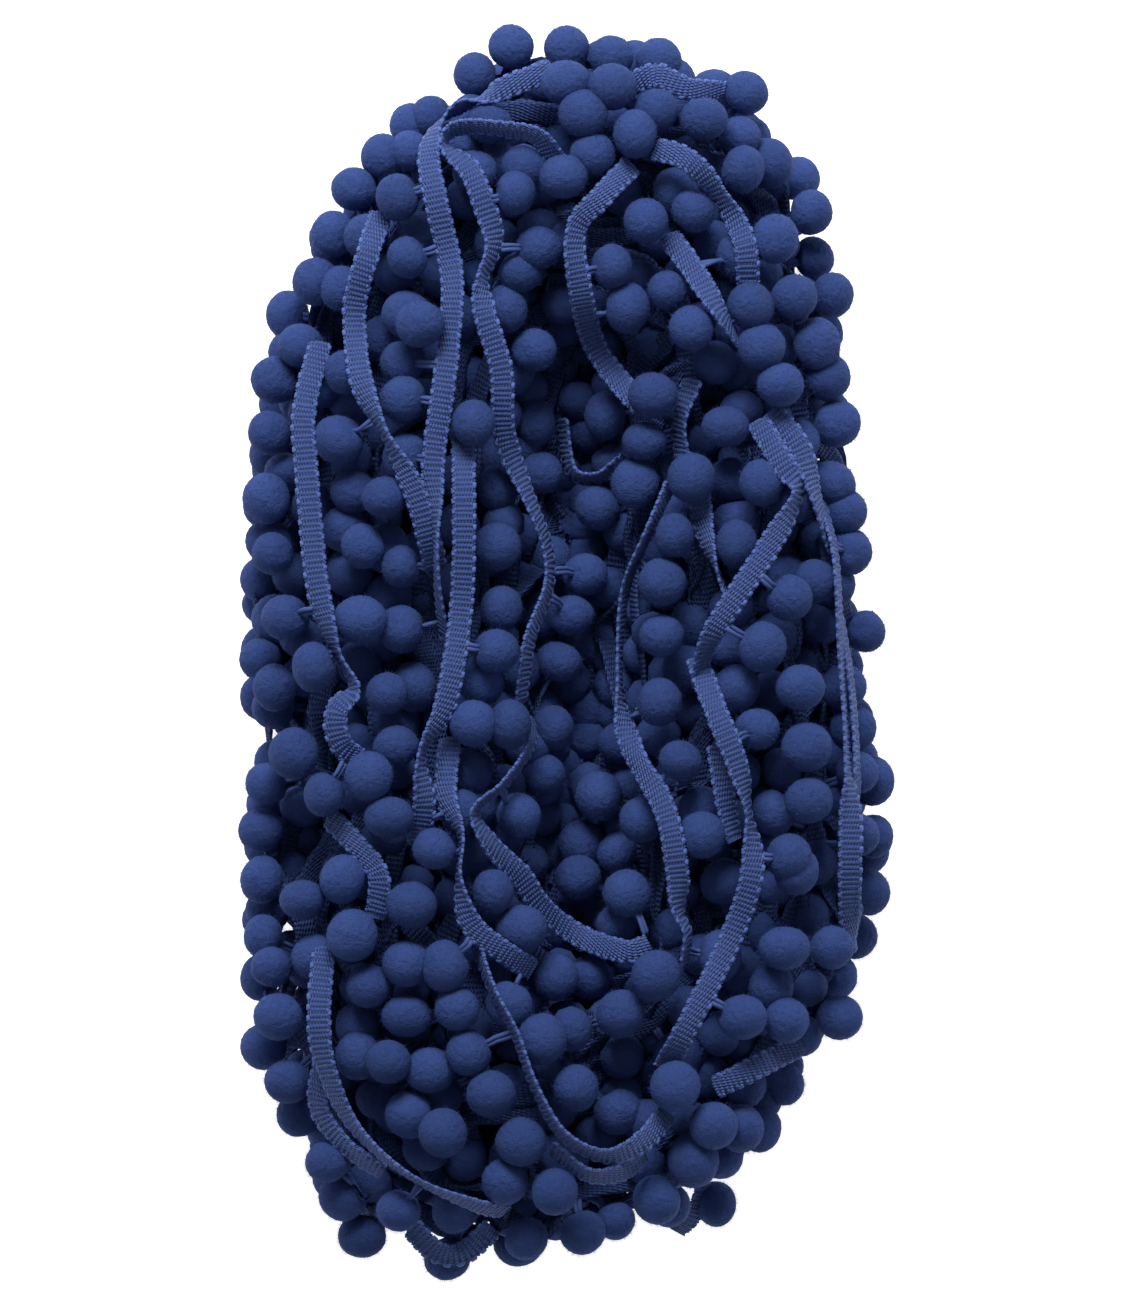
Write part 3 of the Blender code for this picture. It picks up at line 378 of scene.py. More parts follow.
# Pompoms that show from above: x, y, and how much higher or lower than the others they lie, in millimetres.
SEEN = (
    (-19, 125, 0), (-11, 131, -3), (1, 130.5, -3), (10.7, 128.5, -3), (21, 128, -3), (39, 120.5, 2),
    (33, 121, -6), (0, 122.4, 1), (11.5, 121.5, 1), (21, 117.4, 1), (4.6, 115, 2), (15.8, 110.6, 2),
    (30.5, 114, 1), (38.4, 111, -3), (39, 103.5, 1), (44.8, 105.4, -2), (6.6, 106.3, 0), (0, 102.2, 2),
    (-7.7, 104, -2), (-10, 98, 1), (-33, 114.5, 0), (-28.5, 116, -5), (-39, 107, 0), (-45, 100, 0),
    (-35.8, 96.2, 1), (-33, 108, -5), (-49.5, 90, 0), (-41, 90, 0), (18, 92, 1), (28.2, 94.3, 0),
    (24.6, 99, -8), (45.8, 88.3, 3), (54, 95, 0), (51.5, 103, -6), (10.7, 82.3, 0), (14, 73.6, 0),
    (22.7, 77.3, -2), (40.2, 76.4, 0), (40.7, 65.3, 1), (27.8, 69, 2), (-5, 86.5, -3), (-8.6, 81.4, -5),
    (-11.8, 73.6, -5), (-6, 65, -11), (-33.2, 84.2, 0), (-33.5, 72.2, -3), (-28.4, 69, 4),
    (-34.4, 61.6, -3), (-34, 53.8, 1), (-19.2, 47.8, 2), (-6, 49.6, -9), (3.4, 54.7, -8), (9.4, 51, -3),
    (19.5, 54.7, 2), (17.7, 45.6, 0), (37.5, 48, 2), (46.7, 55.2, 1), (1, 88, -8), (0, 75, -11),
    (33, 88, -8), (33, 62, -9), (-53.3, 79.7, 0), (-59.8, 73, -3), (-55, 65, 1), (-47.5, 78, -3),
    (-62, 58.5, 0), (-48.5, 61, 0), (-52, 57, -6), (58.6, 77, 0), (50, 76, 1), (55, 66, 1), (57.5, 59, 0),
    (59.5, 49, 0), (51, 45, -5), (-63.3, 47, 0), (-63.8, 32.8, 0), (-62.4, 20.8, 0), (-59.5, 7, 1),
    (-53.3, -3.6, 4), (-62, -8, -2), (-65.5, -2, -6), (-57.6, -22.2, 2), (-51, -31, 2), (-41.3, -27, 3),
    (-64, -29, -2), (-65.3, -39, -2), (-36, -36, 2), (-27.5, -42, 3), (-37.5, -9.3, 0), (-35.6, -20.8, -2),
    (-43.3, 6.5, 1), (-34.6, 4.5, -2), (-38, 32.8, 0), (-42.8, 22.3, -3), (-34.6, 18, -3), (-45, 34.2, -8),
    (-48, 45.2, -2), (-44, -3, -8), (-20.3, -16.5, 1), (-11.2, -16, 3), (-2, -17, -3), (-0.7, -2.6, -2),
    (-17.4, -6.5, -6), (-14, 22.3, -5), (-13, 9, -5), (-9.3, -35.6, 1), (-5, 38.5, -8), (-14, 35, -8),
    (-20, -26, -8), (-4, -27, -5), (-32, -8, -9), (15.8, 36, 0), (26.8, 36.6, 1), (43, 36, 0),
    (7.7, 31, -2), (24, 24.6, 1), (37.3, 22.7, -2), (21.5, 14.6, 1), (21.5, 3, 1), (9.6, 14, -11),
    (21, -11.2, 1), (25.4, -23.7, 1), (48.8, 11.2, 1), (55, 15, 0), (43, 0.7, 1), (51.2, -8, 2), (66, 4, 0),
    (27, -4, -8), (37.3, -8.4, -5), (42, -17, -2), (52.6, -20.8, 1), (53, -32.3, 2), (45.5, -35.2, -3),
    (8, -31.8, 0), (17.2, -36.6, -2), (30, -34, -9), (54, 31.3, 0), (61.2, 30, -2), (58.4, 36, -5),
    (62.2, 21.3, -3), (64, -26.6, -3), (61.2, -8, -5), (63.2, -17, -5), (4.3, -42.3, -2), (48.8, -44.5, 0),
    (12, -44, -8), (-65, -49.7, -2), (-55.8, -53.6, 1), (-47, -49.2, 0), (-45, -61, 1), (-32.8, -54.6, 2),
    (-14.7, -51.7, 1), (-8.8, -60, 2), (3.4, -49.5, 2), (-64.6, -62, -3), (-62.6, -68.3, 0),
    (-52, -67.3, 0), (-61.2, -79, 0), (-65, -86.4, -5), (-59.2, -93.2, 0), (-57.3, -101, -3),
    (-50, -110, 1), (-33.3, -67.3, 0), (-25, -67.8, 2), (-41.6, -72.2, -2), (-33.3, -78.6, -2),
    (-22.5, -77, 1), (-44, -87.4, -5), (-37.2, -88.4, 0), (-28.4, -90.3, -3), (-20, -86.4, 0),
    (-1.5, -70.7, -5), (-4.4, -83.5, 1), (2, -81.5, -3), (3, -94, 1), (-15.2, -95.2, 1), (-32.8, -100, -3),
    (-25.5, -103.5, 2), (-39.6, -97.2, -8), (-8.8, -105.5, 1), (-13.2, -116.2, 2), (-1.5, -116.2, 2),
    (-35.2, -120.6, 0), (-43.6, -127.5, -2), (-7.8, -127.5, 0), (4.4, -126, 0), (-23.5, -121.5, -8),
    (-25, -132.6, -5), (-47.5, -118.5, -5), (14, -52.6, 2), (21, -69.6, 1), (12.6, -78.3, -3),
    (24.3, -93.5, 4), (38.7, -78.7, 2), (47.8, -64, 1), (58.3, -64, 1), (48.3, -79.6, 0), (60.2, -79.6, -2),
    (50.4, -47.4, -2), (32.6, -102.2, 2), (43, -104, 0), (48.3, -94.3, -3), (28.3, -110, 0),
    (34.3, -110, -5), (20.4, -118.7, 1), (23.4, -121, -5), (66.5, -52.6, 0), (45, -72.6, -6), (64, -40, -2),
    (35, -50, -8), (30, -66, -9), (12, -100, -9), (13, -88, -9),
)

# Where a loose stretch lies otherwise than its table says: its place and reach, how far it moves in x, y and
# height, and how many degrees more it tilts.
LEANS = (
    # name, place, reach, move, degrees
    ("long left", (-20.5, 117.3), 6, (0, -0.5, 0), 50),
    ("long middle", (-12, 112.5), 9, (0, -1.8, 0), 25),
    ("middle second", (34, 15), 8, (0, 0, -2), 50),
    ("middle second", (30, 28), 8, (0, 0, -3), 10),
    ("middle bit", (26, 49), 12, (0, 0, -4), 45),
    ("right second", (35, -31), 12, (0, 0, -3), -50),
    ("rim right", (62, -29), 5, (0, 0, 0), 35),
    ("valley right", (16.5, -23), 7, (0, 0, 0), -40),
    ("low rim left", (-30, -114), 16, (0, 0, 0), 25),
    ("left bit", (-46, -40), 12, (0, 0, -4), 20),
    ("top right", (34, 97), 6, (0, 0, 0), -50),
    ("head", (24, 122.5), 14, (0, -1, 0), -45),
    ("top middle", (5, 72), 8, (0, 0, 2.5), 0),
    ("left valley", (-25, -27), 10, (0, 0, -2.5), 10),
)

# Places with no pompoms down to the floor: x, y, radius.
OPEN_PLACES = (
    (-36, -129, 5), (-17, -126, 4), (-28, -127, 4.5), (-31, -131, 4), (60.5, 42, 3.5), (30, -115, 3.5),
    (-57, -86.5, 4.5), (-57.5, -74, 4), (-56, -60, 3), (44, 97.5, 4), (52, 84, 3), (55, -14.5, 3),
)


def from_table(points):
    """Table points in metres about the middle of the skein. Columns after x and y keep their numbers."""
    points = np.array(points, float)
    points[..., :2] = (points[..., :2] - TABLE_MIDDLE) * MM
    return points


def lengths(line):
    """How far along the line each of its points is."""
    return np.concatenate([[0], np.cumsum(np.linalg.norm(np.diff(line, axis=0), axis=1))])


def smooth_curve(points, step, closed=False):
    """Catmull-Rom curve through the points, sampled evenly. A point may hold more columns than x, y."""
    knots = np.array(points, float)
    if closed:
        knots = np.vstack([knots[-1], knots, knots[:2]])
    else:
        knots = np.vstack([2 * knots[0] - knots[1], knots, 2 * knots[-1] - knots[-2]])
    t = np.linspace(0, 1, CURVE_PARTS, endpoint=False)[:, None]
    pieces = []
    for a, b, c, d in zip(knots, knots[1:], knots[2:], knots[3:]):
        pieces.append(b + 0.5 * t * (c - a + t * (2 * a - 5 * b + 4 * c - d + t * (3 * (b - c) + d - a))))
    dense = np.vstack(pieces + [knots[-2][None]])
    along = lengths(dense[:, :2])
    count = max(int(round(along[-1] / step)), 2)
    stations = np.linspace(0, along[-1], count + 1)[: count if closed else count + 1]
    return np.stack([np.interp(stations, along, column) for column in dense.T], axis=1)


RIM = smooth_curve(from_table(OUTLINE), RIM_STEP, closed=True)
RIM_NEXT = np.roll(RIM, -1, axis=0)


def rim_inset(xy):
    """How far each point is inside the outline, and the unit way in from the outline there."""
    edge = RIM_NEXT - RIM
    gap = xy[:, None] - RIM[None]
    share = np.clip((gap * edge).sum(2) / (edge**2).sum(1), 0, 1)
    gap = gap - share[..., None] * edge
    far = np.sqrt((gap**2).sum(2))
    nearest = far.argmin(1)
    rows = np.arange(len(xy))
    away = gap[rows, nearest]
    edge = edge[nearest]
    inside = np.where(edge[:, 0] * away[:, 1] - edge[:, 1] * away[:, 0] < 0, 1, -1)
    inward = np.stack([edge[:, 1], -edge[:, 0]], axis=1) / np.linalg.norm(edge, axis=1)[:, None]
    return inside * far[rows, nearest], inward


def side_inset(height):
    """How far in from the outline the side of the heap is at each height."""
    rise = np.clip((height - BULGE_HEIGHT) / (SKEIN_HEIGHT - BULGE_HEIGHT), 0, 1)
    fall = np.clip((BULGE_HEIGHT - height) / BULGE_HEIGHT, 0, 1)
    return SHOULDER_WIDTH * (1 - (1 - rise**SIDE_POWER) ** (1 / SIDE_POWER)) + UNDERCUT * fall**2


def heap_top(xy):
    """Height of the top of the heap over each point."""
    inset = np.clip(rim_inset(xy)[0] / SHOULDER_WIDTH, 0, 1)
    rise = (1 - (1 - inset) ** SIDE_POWER) ** (1 / SIDE_POWER)
    dome = BULGE_HEIGHT + (SKEIN_HEIGHT - BULGE_HEIGHT) * rise
    past_end = xy[:, 1] - np.clip(xy[:, 1], *VALLEY_ENDS)
    from_valley = np.hypot(xy[:, 0] - VALLEY_X, past_end)
    top = dome - VALLEY_DEPTH * np.exp(-((from_valley / VALLEY_WIDTH) ** 2))
    for x, y, depth, radius in from_table(HOLLOWS):
        from_hollow = np.hypot(xy[:, 0] - x, xy[:, 1] - y) / (radius * MM)
        top -= depth * MM * np.exp(-(from_hollow**2))
    return top


def units(ways):
    return ways / (np.linalg.norm(ways, axis=-1)[..., None] + UNIT_GUARD)


class Tape:
    """A stretch of tape: its middle line, its way along, its way towards the pompoms, and its face's way."""

    def __init__(self, middle, side, tilt, first, loose=False, shown=False, size=1.0):
        self.size = size
        self.shown = shown
        self.middle = middle
        self.first = first
        self.loose = loose
        along = np.gradient(middle, axis=0)
        self.along = along / np.linalg.norm(along, axis=1)[:, None]
        level = side * np.stack([self.along[:, 1], -self.along[:, 0], 0 * along[:, 0]], axis=1)
        level /= np.linalg.norm(level, axis=1)[:, None]
        up = side * np.cross(level, self.along)
        lean = np.radians(tilt)[:, None]
        self.out = np.cos(lean) * level - np.sin(lean) * up
        self.face = np.sin(lean) * level + np.cos(lean) * up
        self.level = level
        self.length = lengths(middle)

    def reroute(self, points, ways):
        """Lays the tape through other points, its pompoms' side along the ways given there."""
        line = smooth_curve(np.hstack([points, ways]), TAPE_STEP)
        self.middle = line[:, :3]
        self.along = units(np.gradient(self.middle, axis=0))
        self.out = units(line[:, 3:] - (line[:, 3:] * self.along).sum(1)[:, None] * self.along)
        self.face = np.cross(self.along, self.out)
        self.length = lengths(self.middle)

    def stations(self):
        """Sample numbers of the tape at which a pompom hangs."""
        places = np.arange(self.first, self.length[-1], POMPOM_PITCH)
        return np.searchsorted(self.length, places).clip(0, len(self.length) - 1)


def loose_tapes():
    tapes = []
    for _, side, first, points in STRETCHES:
        line = smooth_curve(from_table(points), TAPE_STEP)
        top = np.pad(heap_top(line[:, :2]), SMOOTHING, mode="edge")
        even = np.ones(2 * SMOOTHING + 1) / (2 * SMOOTHING + 1)
        height = np.convolve(top, even, mode="valid") + line[:, 3] * MM
        middle = np.column_stack([line[:, :2], height])
        tapes.append(Tape(middle, side, line[:, 2], first * MM, loose=True, shown=True))
    return tapes


def row_tapes():
    """The tapes that lie under the rows of pompoms."""
    tapes = []
    for _, size, points in ROWS:
        line = smooth_curve(from_table(points), TAPE_STEP)
        middle = np.column_stack([line, heap_top(line) - POMPOM_RADIUS - POMPOM_REACH])
        tapes.append(Tape(middle, 1, np.full(len(line), UPRIGHT), 0, loose=True, size=size))
    return tapes


def turn_waves(around, sizes, rng):
    """How far a turn wanders at each place around it."""
    waves = np.zeros(len(around))
    for count in TURN_WAVES:
        waves += rng.uniform(*sizes) * np.sin(count * around + rng.uniform(0, 2 * math.pi))
    return waves


def wound_tapes(rng):
    """The turns that the skein is wound of, in layers."""
    spine = np.stack([np.full(len(RIM), VALLEY_X), np.clip(RIM[:, 1], *VALLEY_ENDS)], axis=1)
    around = np.linspace(0, 2 * math.pi, len(RIM), endpoint=False)
    tapes = []
    for height, near, far, turns in TURN_LAYERS:
        for turn in range(turns):
            share = near + (far - near) * turn / (turns - 1)
            sway = turn_waves(around, TURN_SWAY, rng)
            lift = turn_waves(around, TURN_LIFT, rng)
            line = spine + (RIM - spine) * (share + sway)[:, None]
            middle = np.column_stack([line, (height + lift) * MM])
            middle = np.roll(middle, rng.integers(len(RIM)), axis=0)
            outermost = turn == turns - 1
            side = -1 if outermost else rng.choice((-1, 1))
            most = OUTERMOST_TILT if outermost else INNER_TILT
            tilt = np.full(len(RIM), rng.uniform(-most, most))
            tapes.append(Tape(middle, side, tilt, rng.uniform(0, POMPOM_PITCH)))
    return tapes


def hang_pompoms(tapes, rng):
    """Where each pompom would be if it had the room, the tape point that it hangs from, and its tape."""
    homes, roots, owners = [], [], []
    for number, tape in enumerate(tapes):
        for station in tape.stations():
            reach = tape.level[station] if tape.shown else tape.out[station]
            home = tape.middle[station] + POMPOM_REACH * reach
            home += rng.uniform(-HOME_SPREAD, HOME_SPREAD, 3) * MM
            if tape.loose:
                home[2] = heap_top(home[None, :2])[0] - POMPOM_RADIUS + rng.uniform(0, LOOSE_RISE) * MM
            homes.append(home)
            roots.append(tape.middle[station])
            owners.append(number)
    return np.array(homes), np.array(roots), np.array(owners)


def keep_in_heap(centres, slack):
    """Moves each pompom into the heap and over the floor. Slack lets it stand out of the heap."""
    inset, inward = rim_inset(centres[:, :2])
    short = POMPOM_RADIUS - slack + side_inset(centres[:, 2]) - inset
    centres[:, :2] += inward * np.clip(short, 0, LONGEST_MOVE)[:, None]
    ceiling = heap_top(centres[:, :2]) - POMPOM_RADIUS + slack
    centres[:, 2] = np.maximum(np.minimum(centres[:, 2], ceiling), POMPOM_RADIUS)


def loose_end_tape():
    line = smooth_curve(from_table(LOOSE_END), TAPE_STEP / 2) * (1, 1, MM)
    return Tape(line, -1, np.full(len(line), LOOSE_END_TILT), LAST_STEM_STATION, shown=True)


def neighbours(centres, others, reach):
    """Numbers of the pairs of a centre and another point that are within reach."""
    return np.nonzero(((centres[:, None] - others[None]) ** 2).sum(2) < reach**2)


def tape_points(tapes):
    """Points along the tapes on top, and on the loose end, that pompoms keep clear of."""
    loose_end = loose_end_tape().middle[:: 2 * TAPE_POINTS]
    last = np.array([*from_table(LAST_POMPOM), LAST_POMPOM_RADIUS])
    last = last + [(0, 0, share * LAST_POMPOM_RADIUS) for share in LAST_POMPOM_POINTS]
    return np.vstack([tape.middle[::TAPE_POINTS] for tape in tapes if tape.loose] + [loose_end, last])


def pack_pompoms(tapes, rng):
    """Spreads the pompoms until they lie side by side, below the loose tapes and inside the heap."""
    homes, roots, owners = hang_pompoms(tapes, rng)
    loose = np.array([tapes[owner].loose for owner in owners])
    radii = POMPOM_RADIUS * rng.uniform(*RADIUS_SPREAD, len(homes))
    radii *= np.array([tapes[owner].size for owner in owners])
    slack = np.where(loose, LOOSE_SLACK, rng.uniform(*WOUND_SLACK, len(homes))) * MM
    bars = tape_points(tapes)
    centres = homes.copy()
    for turn in range(PACK_ROUNDS):
        if turn % SEARCH_ROUNDS == 0:
            first, second = neighbours(centres, centres, SEARCH_REACH)
            first, second = first[first < second], second[first < second]
            ball, bar = neighbours(centres, bars, SEARCH_REACH)
        gap = centres[first] - centres[second]
        far = np.linalg.norm(gap, axis=1) + TINY
        push = 0.5 * np.clip(TOUCHING * (radii[first] + radii[second]) - far, 0, None) / far
        give = np.where(loose[first] & ~loose[second], LOOSE_GIVE, 1.0)
        take = np.where(loose[second] & ~loose[first], LOOSE_GIVE, 1.0)
        np.add.at(centres, first, (give * push)[:, None] * gap)
        np.add.at(centres, second, -(take * push)[:, None] * gap)
        gap = centres[ball] - bars[bar] - (0, 0, UNDER_TAPE)
        far = np.linalg.norm(gap, axis=1) + TINY
        push = TAPE_PUSH * np.clip(radii[ball] + TAPE_ROOM - far, 0, None) / far
        np.add.at(centres, ball, push[:, None] * gap)
        centres[loose] += HOME_PULL * (homes[loose] - centres[loose])
        tether = centres - roots
        far = np.linalg.norm(tether, axis=1)[:, None]
        centres -= ROOT_PULL * tether * np.clip(1 - LONGEST_REACH / far, 0, None)
        keep_in_heap(centres, slack)
    return centres, radii, roots, owners


def root_costs(tries, own, centres, roots):
    """What is wrong with each place tried for a root: near a pompom, out of the heap, or far from home."""
    flat = tries.reshape(-1, 3)
    near = ((flat[:, None] - centres[None]) ** 2).sum(2)
    near[np.arange(len(flat)), np.repeat(own, ROUTE_TRIES)] = np.inf
    crowded = np.clip(ROUTE_CLEARANCE - np.sqrt(near.min(1)), 0, None)
    inset = rim_inset(flat[:, :2])[0] - side_inset(flat[:, 2]) - ROUTE_INSET
    below = heap_top(flat[:, :2]) - ROUTE_INSET - flat[:, 2]
    outside = np.clip(-np.minimum.reduce([inset, below, flat[:, 2] - ROUTE_FLOOR]), 0, None)
    away = np.linalg.norm(tries - roots[own][:, None], axis=2)
    costs = ROUTE_COSTS[0] * crowded + ROUTE_COSTS[1] * outside
    return costs.reshape(len(own), -1) + ROUTE_COSTS[2] * away


def route_turns(tapes, centres, owners, roots, rng):
    """Lays each hidden tape past its own packed pompoms, clear of the others. Returns every stem's root."""
    roots = roots.copy()
    for number, tape in enumerate(tapes):
        own = np.nonzero(owners == number)[0]
        if tape.shown or len(own) < 3:
            continue
        ways = rng.normal(size=(len(own), ROUTE_TRIES, 3))
        high = centres[own, 2] > SKEIN_HEIGHT / 2
        ways[high, :, 2] = -ROUTE_DIVE * np.abs(ways[high, :, 2])
        tries = centres[own][:, None] + POMPOM_REACH * units(ways)
        costs = root_costs(tries, own, centres, roots)
        picks = costs.argmin(1)
        rows = np.arange(len(own))
        for turn in range(ROUTE_ROUNDS):
            line = tries[rows, picks]
            between = (np.roll(line, 1, axis=0) + np.roll(line, -1, axis=0)) / 2
            bent = costs + ROUTE_COSTS[3] * np.linalg.norm(tries - between[:, None], axis=2)
            picks = np.where((rows + turn) % 2, bent.argmin(1), picks)
        roots[own] = tries[rows, picks]
        tape.reroute(roots[own], centres[own] - roots[own])
        inset, inward = rim_inset(tape.middle[:, :2])
        short = ROUTE_INSET + side_inset(tape.middle[:, 2]) - inset
        tape.middle[:, :2] += inward * np.clip(short, 0, None)[:, None]
        ceiling = np.where(inset > SIDE_BAND, heap_top(tape.middle[:, :2]) - RIBBON_DEPTH, SKEIN_HEIGHT)
        tape.middle[:, 2] = np.clip(tape.middle[:, 2], ROUTE_FLOOR, np.maximum(ceiling, ROUTE_FLOOR))
    return roots


def shown_area(centres, radii):
    """How much of each pompom shows from above, in cells of a millimetre."""
    cells = np.full((CELLS, CELLS), -1)
    heights = np.zeros((CELLS, CELLS))
    middle = CELLS // 2
    span = np.arange(-CELL_REACH, CELL_REACH + 1)
    for number in np.argsort(centres[:, 2]):
        x, y, z = centres[number] / MM
        columns = np.rint(x + span).astype(int) + middle
        rows = np.rint(y + span).astype(int) + middle
        from_centre = (columns[:, None] - middle - x) ** 2 + (rows[None] - middle - y) ** 2
        block = np.ix_(columns, rows)
        higher = (from_centre < (radii[number] / MM) ** 2) & (z > heights[block])
        cells[block] = np.where(higher, number, cells[block])
        heights[block] = np.where(higher, z, heights[block])
    return np.bincount(cells[cells >= 0], minlength=len(centres))


def arrange_seen(centres, owners, tapes):
    """Moves the nearest pompoms to where pompoms show. Returns which stay: no others lie near the top."""
    seen = np.zeros(len(centres), bool)
    for x, y, rise in from_table(SEEN):
        top = heap_top(np.array([[x, y]]))[0] - POMPOM_RADIUS + (SEEN_RISE + rise) * MM
        goal = np.array((x, y, max(top, POMPOM_RADIUS)))
        nearest = (np.linalg.norm((centres - goal) * (1, 1, HEIGHT_SHARE), axis=1) + seen).argmin()
        centres[nearest] = goal
        seen[nearest] = True
    far = np.sqrt(((centres[:, None] - centres[seen][None]) ** 2).sum(2)).min(1)
    deep = heap_top(centres[:, :2]) - centres[:, 2] > SEEN_DEPTH
    shown = np.array([tapes[owner].shown for owner in owners])
    aside = rim_inset(centres[:, :2])[0] < SIDE_BAND
    stays = seen | ((far > SEEN_ROOM) & (deep | aside | shown)) | (deep & (far > DEEP_ROOM))
    for x, y, radius in from_table(OPEN_PLACES):
        stays &= seen | (np.hypot(centres[:, 0] - x, centres[:, 1] - y) > radius * MM)
    return stays


def lean_tapes(tapes):
    """Moves and tilts the loose stretches where LEANS says."""
    names = [stretch[0] for stretch in STRETCHES]
    for name, place, reach, move, degrees in LEANS:
        tape = tapes[names.index(name)]
        away = (tape.middle[:, :2] - from_table(place)) / (reach * MM)
        share = np.exp(-(away**2).sum(1))[:, None]
        tape.middle += share * np.array(move) * MM
        turn = share * math.radians(degrees)
        out, face = tape.out, tape.face
        tape.out = np.cos(turn) * out - np.sin(turn) * face
        tape.face = np.sin(turn) * out + np.cos(turn) * face


def clear_tapes(centres, radii, tapes):
    """Moves each pompom off the loose stretches that it would go through."""
    shown = [tape for tape in tapes if tape.shown]
    lines = [tape.middle[::2] + share * TAPE_WIDTH * tape.out[::2] for tape in shown for share in TAPE_LINES]
    lines = np.vstack(lines)
    for _ in range(CLEAR_ROUNDS):
        apart = centres[:, None] - lines[None]
        far = np.linalg.norm(apart, axis=2)
        nearest = far.argmin(1)
        rows = np.arange(len(centres))
        short = np.clip(radii + TAPE_GAP - far[rows, nearest], 0, None)
        centres += short[:, None] * units(apart[rows, nearest])
    centres[:, 2] = np.maximum(centres[:, 2], radii)


def floor_fillers(centres):
    """More pompoms low in the heap, wherever it would let the floor show through."""
    steps = np.arange(-FILLER_SPAN, FILLER_SPAN, FILLER_STEP)
    fillers = []
    for layer in range(1, FILLER_LAYERS + 1):
        x, y = np.meshgrid(steps + layer * FILLER_SHIFT, steps)
        height = layer * POMPOM_RADIUS * FILLER_RISE
        places = np.column_stack([x.ravel(), y.ravel(), np.full(x.size, height)])
        places = places[rim_inset(places[:, :2])[0] > FILLER_INSET]
        far = np.sqrt(((places[:, None] - centres[None]) ** 2).sum(2)).min(1)
        fillers.append(places[far > FILLER_ROOM])
    return np.vstack(fillers)


def by_view(centres, radii):
    """Numbers of the pompoms that show most from above, that show less or at a side, and of the rest."""
    area = shown_area(centres, radii)
    inset = rim_inset(centres[:, :2])[0] - side_inset(centres[:, 2]) - radii
    order = np.lexsort((inset, -area))
    fine, others = order[:FINE_POMPOMS], order[FINE_POMPOMS:]
    score = np.where(area[others] > SHOWING_CELLS, -1, 0) + inset[others] * INSET_SCORE
    others = others[np.argsort(score)]
    return fine, others[:MEDIUM_POMPOMS], others[MEDIUM_POMPOMS:]


def laid_trim(rng, layout_rng):
    """The tapes, and the pompoms' centres, radii, roots and tapes, as they lie in the photo."""
    tapes = loose_tapes() + row_tapes() + wound_tapes(layout_rng)
    centres, radii, roots, owners = pack_pompoms(tapes, layout_rng)
    stays = arrange_seen(centres, owners, tapes)
    roots = route_turns(tapes, centres, owners, roots, rng)
    lean_tapes(tapes)
    centres, radii, roots, owners = centres[stays], radii[stays], roots[stays], owners[stays]
    clear_tapes(centres, radii, tapes)
    return tapes, centres, radii, roots, owners


# Pieces. A part of a piece is its points, its faces and its marks: a tint for each point or, on tape and
# stems, its place along and across the tape in millimetres.


def new_piece(name, part, material, node):
    """A smooth mesh piece that rides on the root body and stands for a CAD node."""
    points, faces, marks = part
    points[:, 2] = np.maximum(points[:, 2], 0)
    corners = faces.ravel()
    mesh = bpy.data.meshes.new(name)
    mesh.vertices.add(len(points))
    mesh.vertices.foreach_set("co", points.astype(np.float32).ravel())
    mesh.loops.add(len(corners))
    mesh.loops.foreach_set("vertex_index", corners.astype(np.int32))
    mesh.polygons.add(len(faces))
    mesh.polygons.foreach_set("loop_start", np.arange(0, len(corners), faces.shape[1], dtype=np.int32))
    if marks.ndim == 2:
        mesh.uv_layers.new(name="thread").uv.foreach_set("vector", marks[corners].astype(np.float32).ravel())
    else:
        mesh.attributes.new("tint", "FLOAT", "POINT").data.foreach_set("value", marks.astype(np.float32))
    mesh.update(calc_edges=True)
    mesh.shade_smooth()
    mesh.materials.append(material)
    piece = bpy.data.objects.new(name, mesh)
    bpy.context.collection.objects.link(piece)
    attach(piece, "root")
    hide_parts(node)


def joined(parts):
    """Joins parts into one."""
    points, faces, marks = zip(*parts)
    starts = np.cumsum([0] + [len(some) for some in points[:-1]])
    faces = [some + start for some, start in zip(faces, starts)]
    return np.concatenate(points), np.concatenate(faces), np.concatenate(marks)


def ring_faces(rows, sides):
    """Four-sided faces between each row of points and the next, all the way round."""
    start = np.arange(rows - 1)[:, None] * sides
    here = np.arange(sides)[None]
    after = (here + 1) % sides
    faces = np.stack([start + here, start + after, start + sides + after, start + sides + here], axis=2)
    return faces.reshape(-1, 4)


def turned_out(points, faces):
    """The four-sided faces of a part, turned round if they look inwards."""
    corners = points[faces] - points.mean(0)
    volume = sum(np.linalg.det(corners[:, pick]).sum() for pick in ((0, 1, 2), (0, 2, 3)))
    return faces if volume > 0 else faces[:, ::-1]


def tube(path, up, width, thickness, sides):
    """A cord along the path, oval in section and pointed at its ends: its width lies across the up way."""
    along = units(np.gradient(path, axis=0))
    across = units(np.cross(along, up))
    over = np.cross(across, along)
    swell = np.ones(len(path))
    swell[[0, -1]] = CORD_TIP
    turn = np.linspace(0, 2 * math.pi, sides, endpoint=False)
    flat = np.cos(turn)[None, :, None] * across[:, None] * width / 2
    high = np.sin(turn)[None, :, None] * over[:, None] * thickness / 2
    points = (path[:, None] + (flat + high) * swell[:, None, None]).reshape(-1, 3)
    return points, turned_out(points, ring_faces(len(path), sides))


def sampled(tape, places):
    """Middle, way out and face of the tape at places along it."""
    found = []
    for columns in (tape.middle, tape.out, tape.face):
        found.append(np.stack([np.interp(places, tape.length, column) for column in columns.T], axis=1))
    middle, out, face = found
    return middle, units(out), units(face)


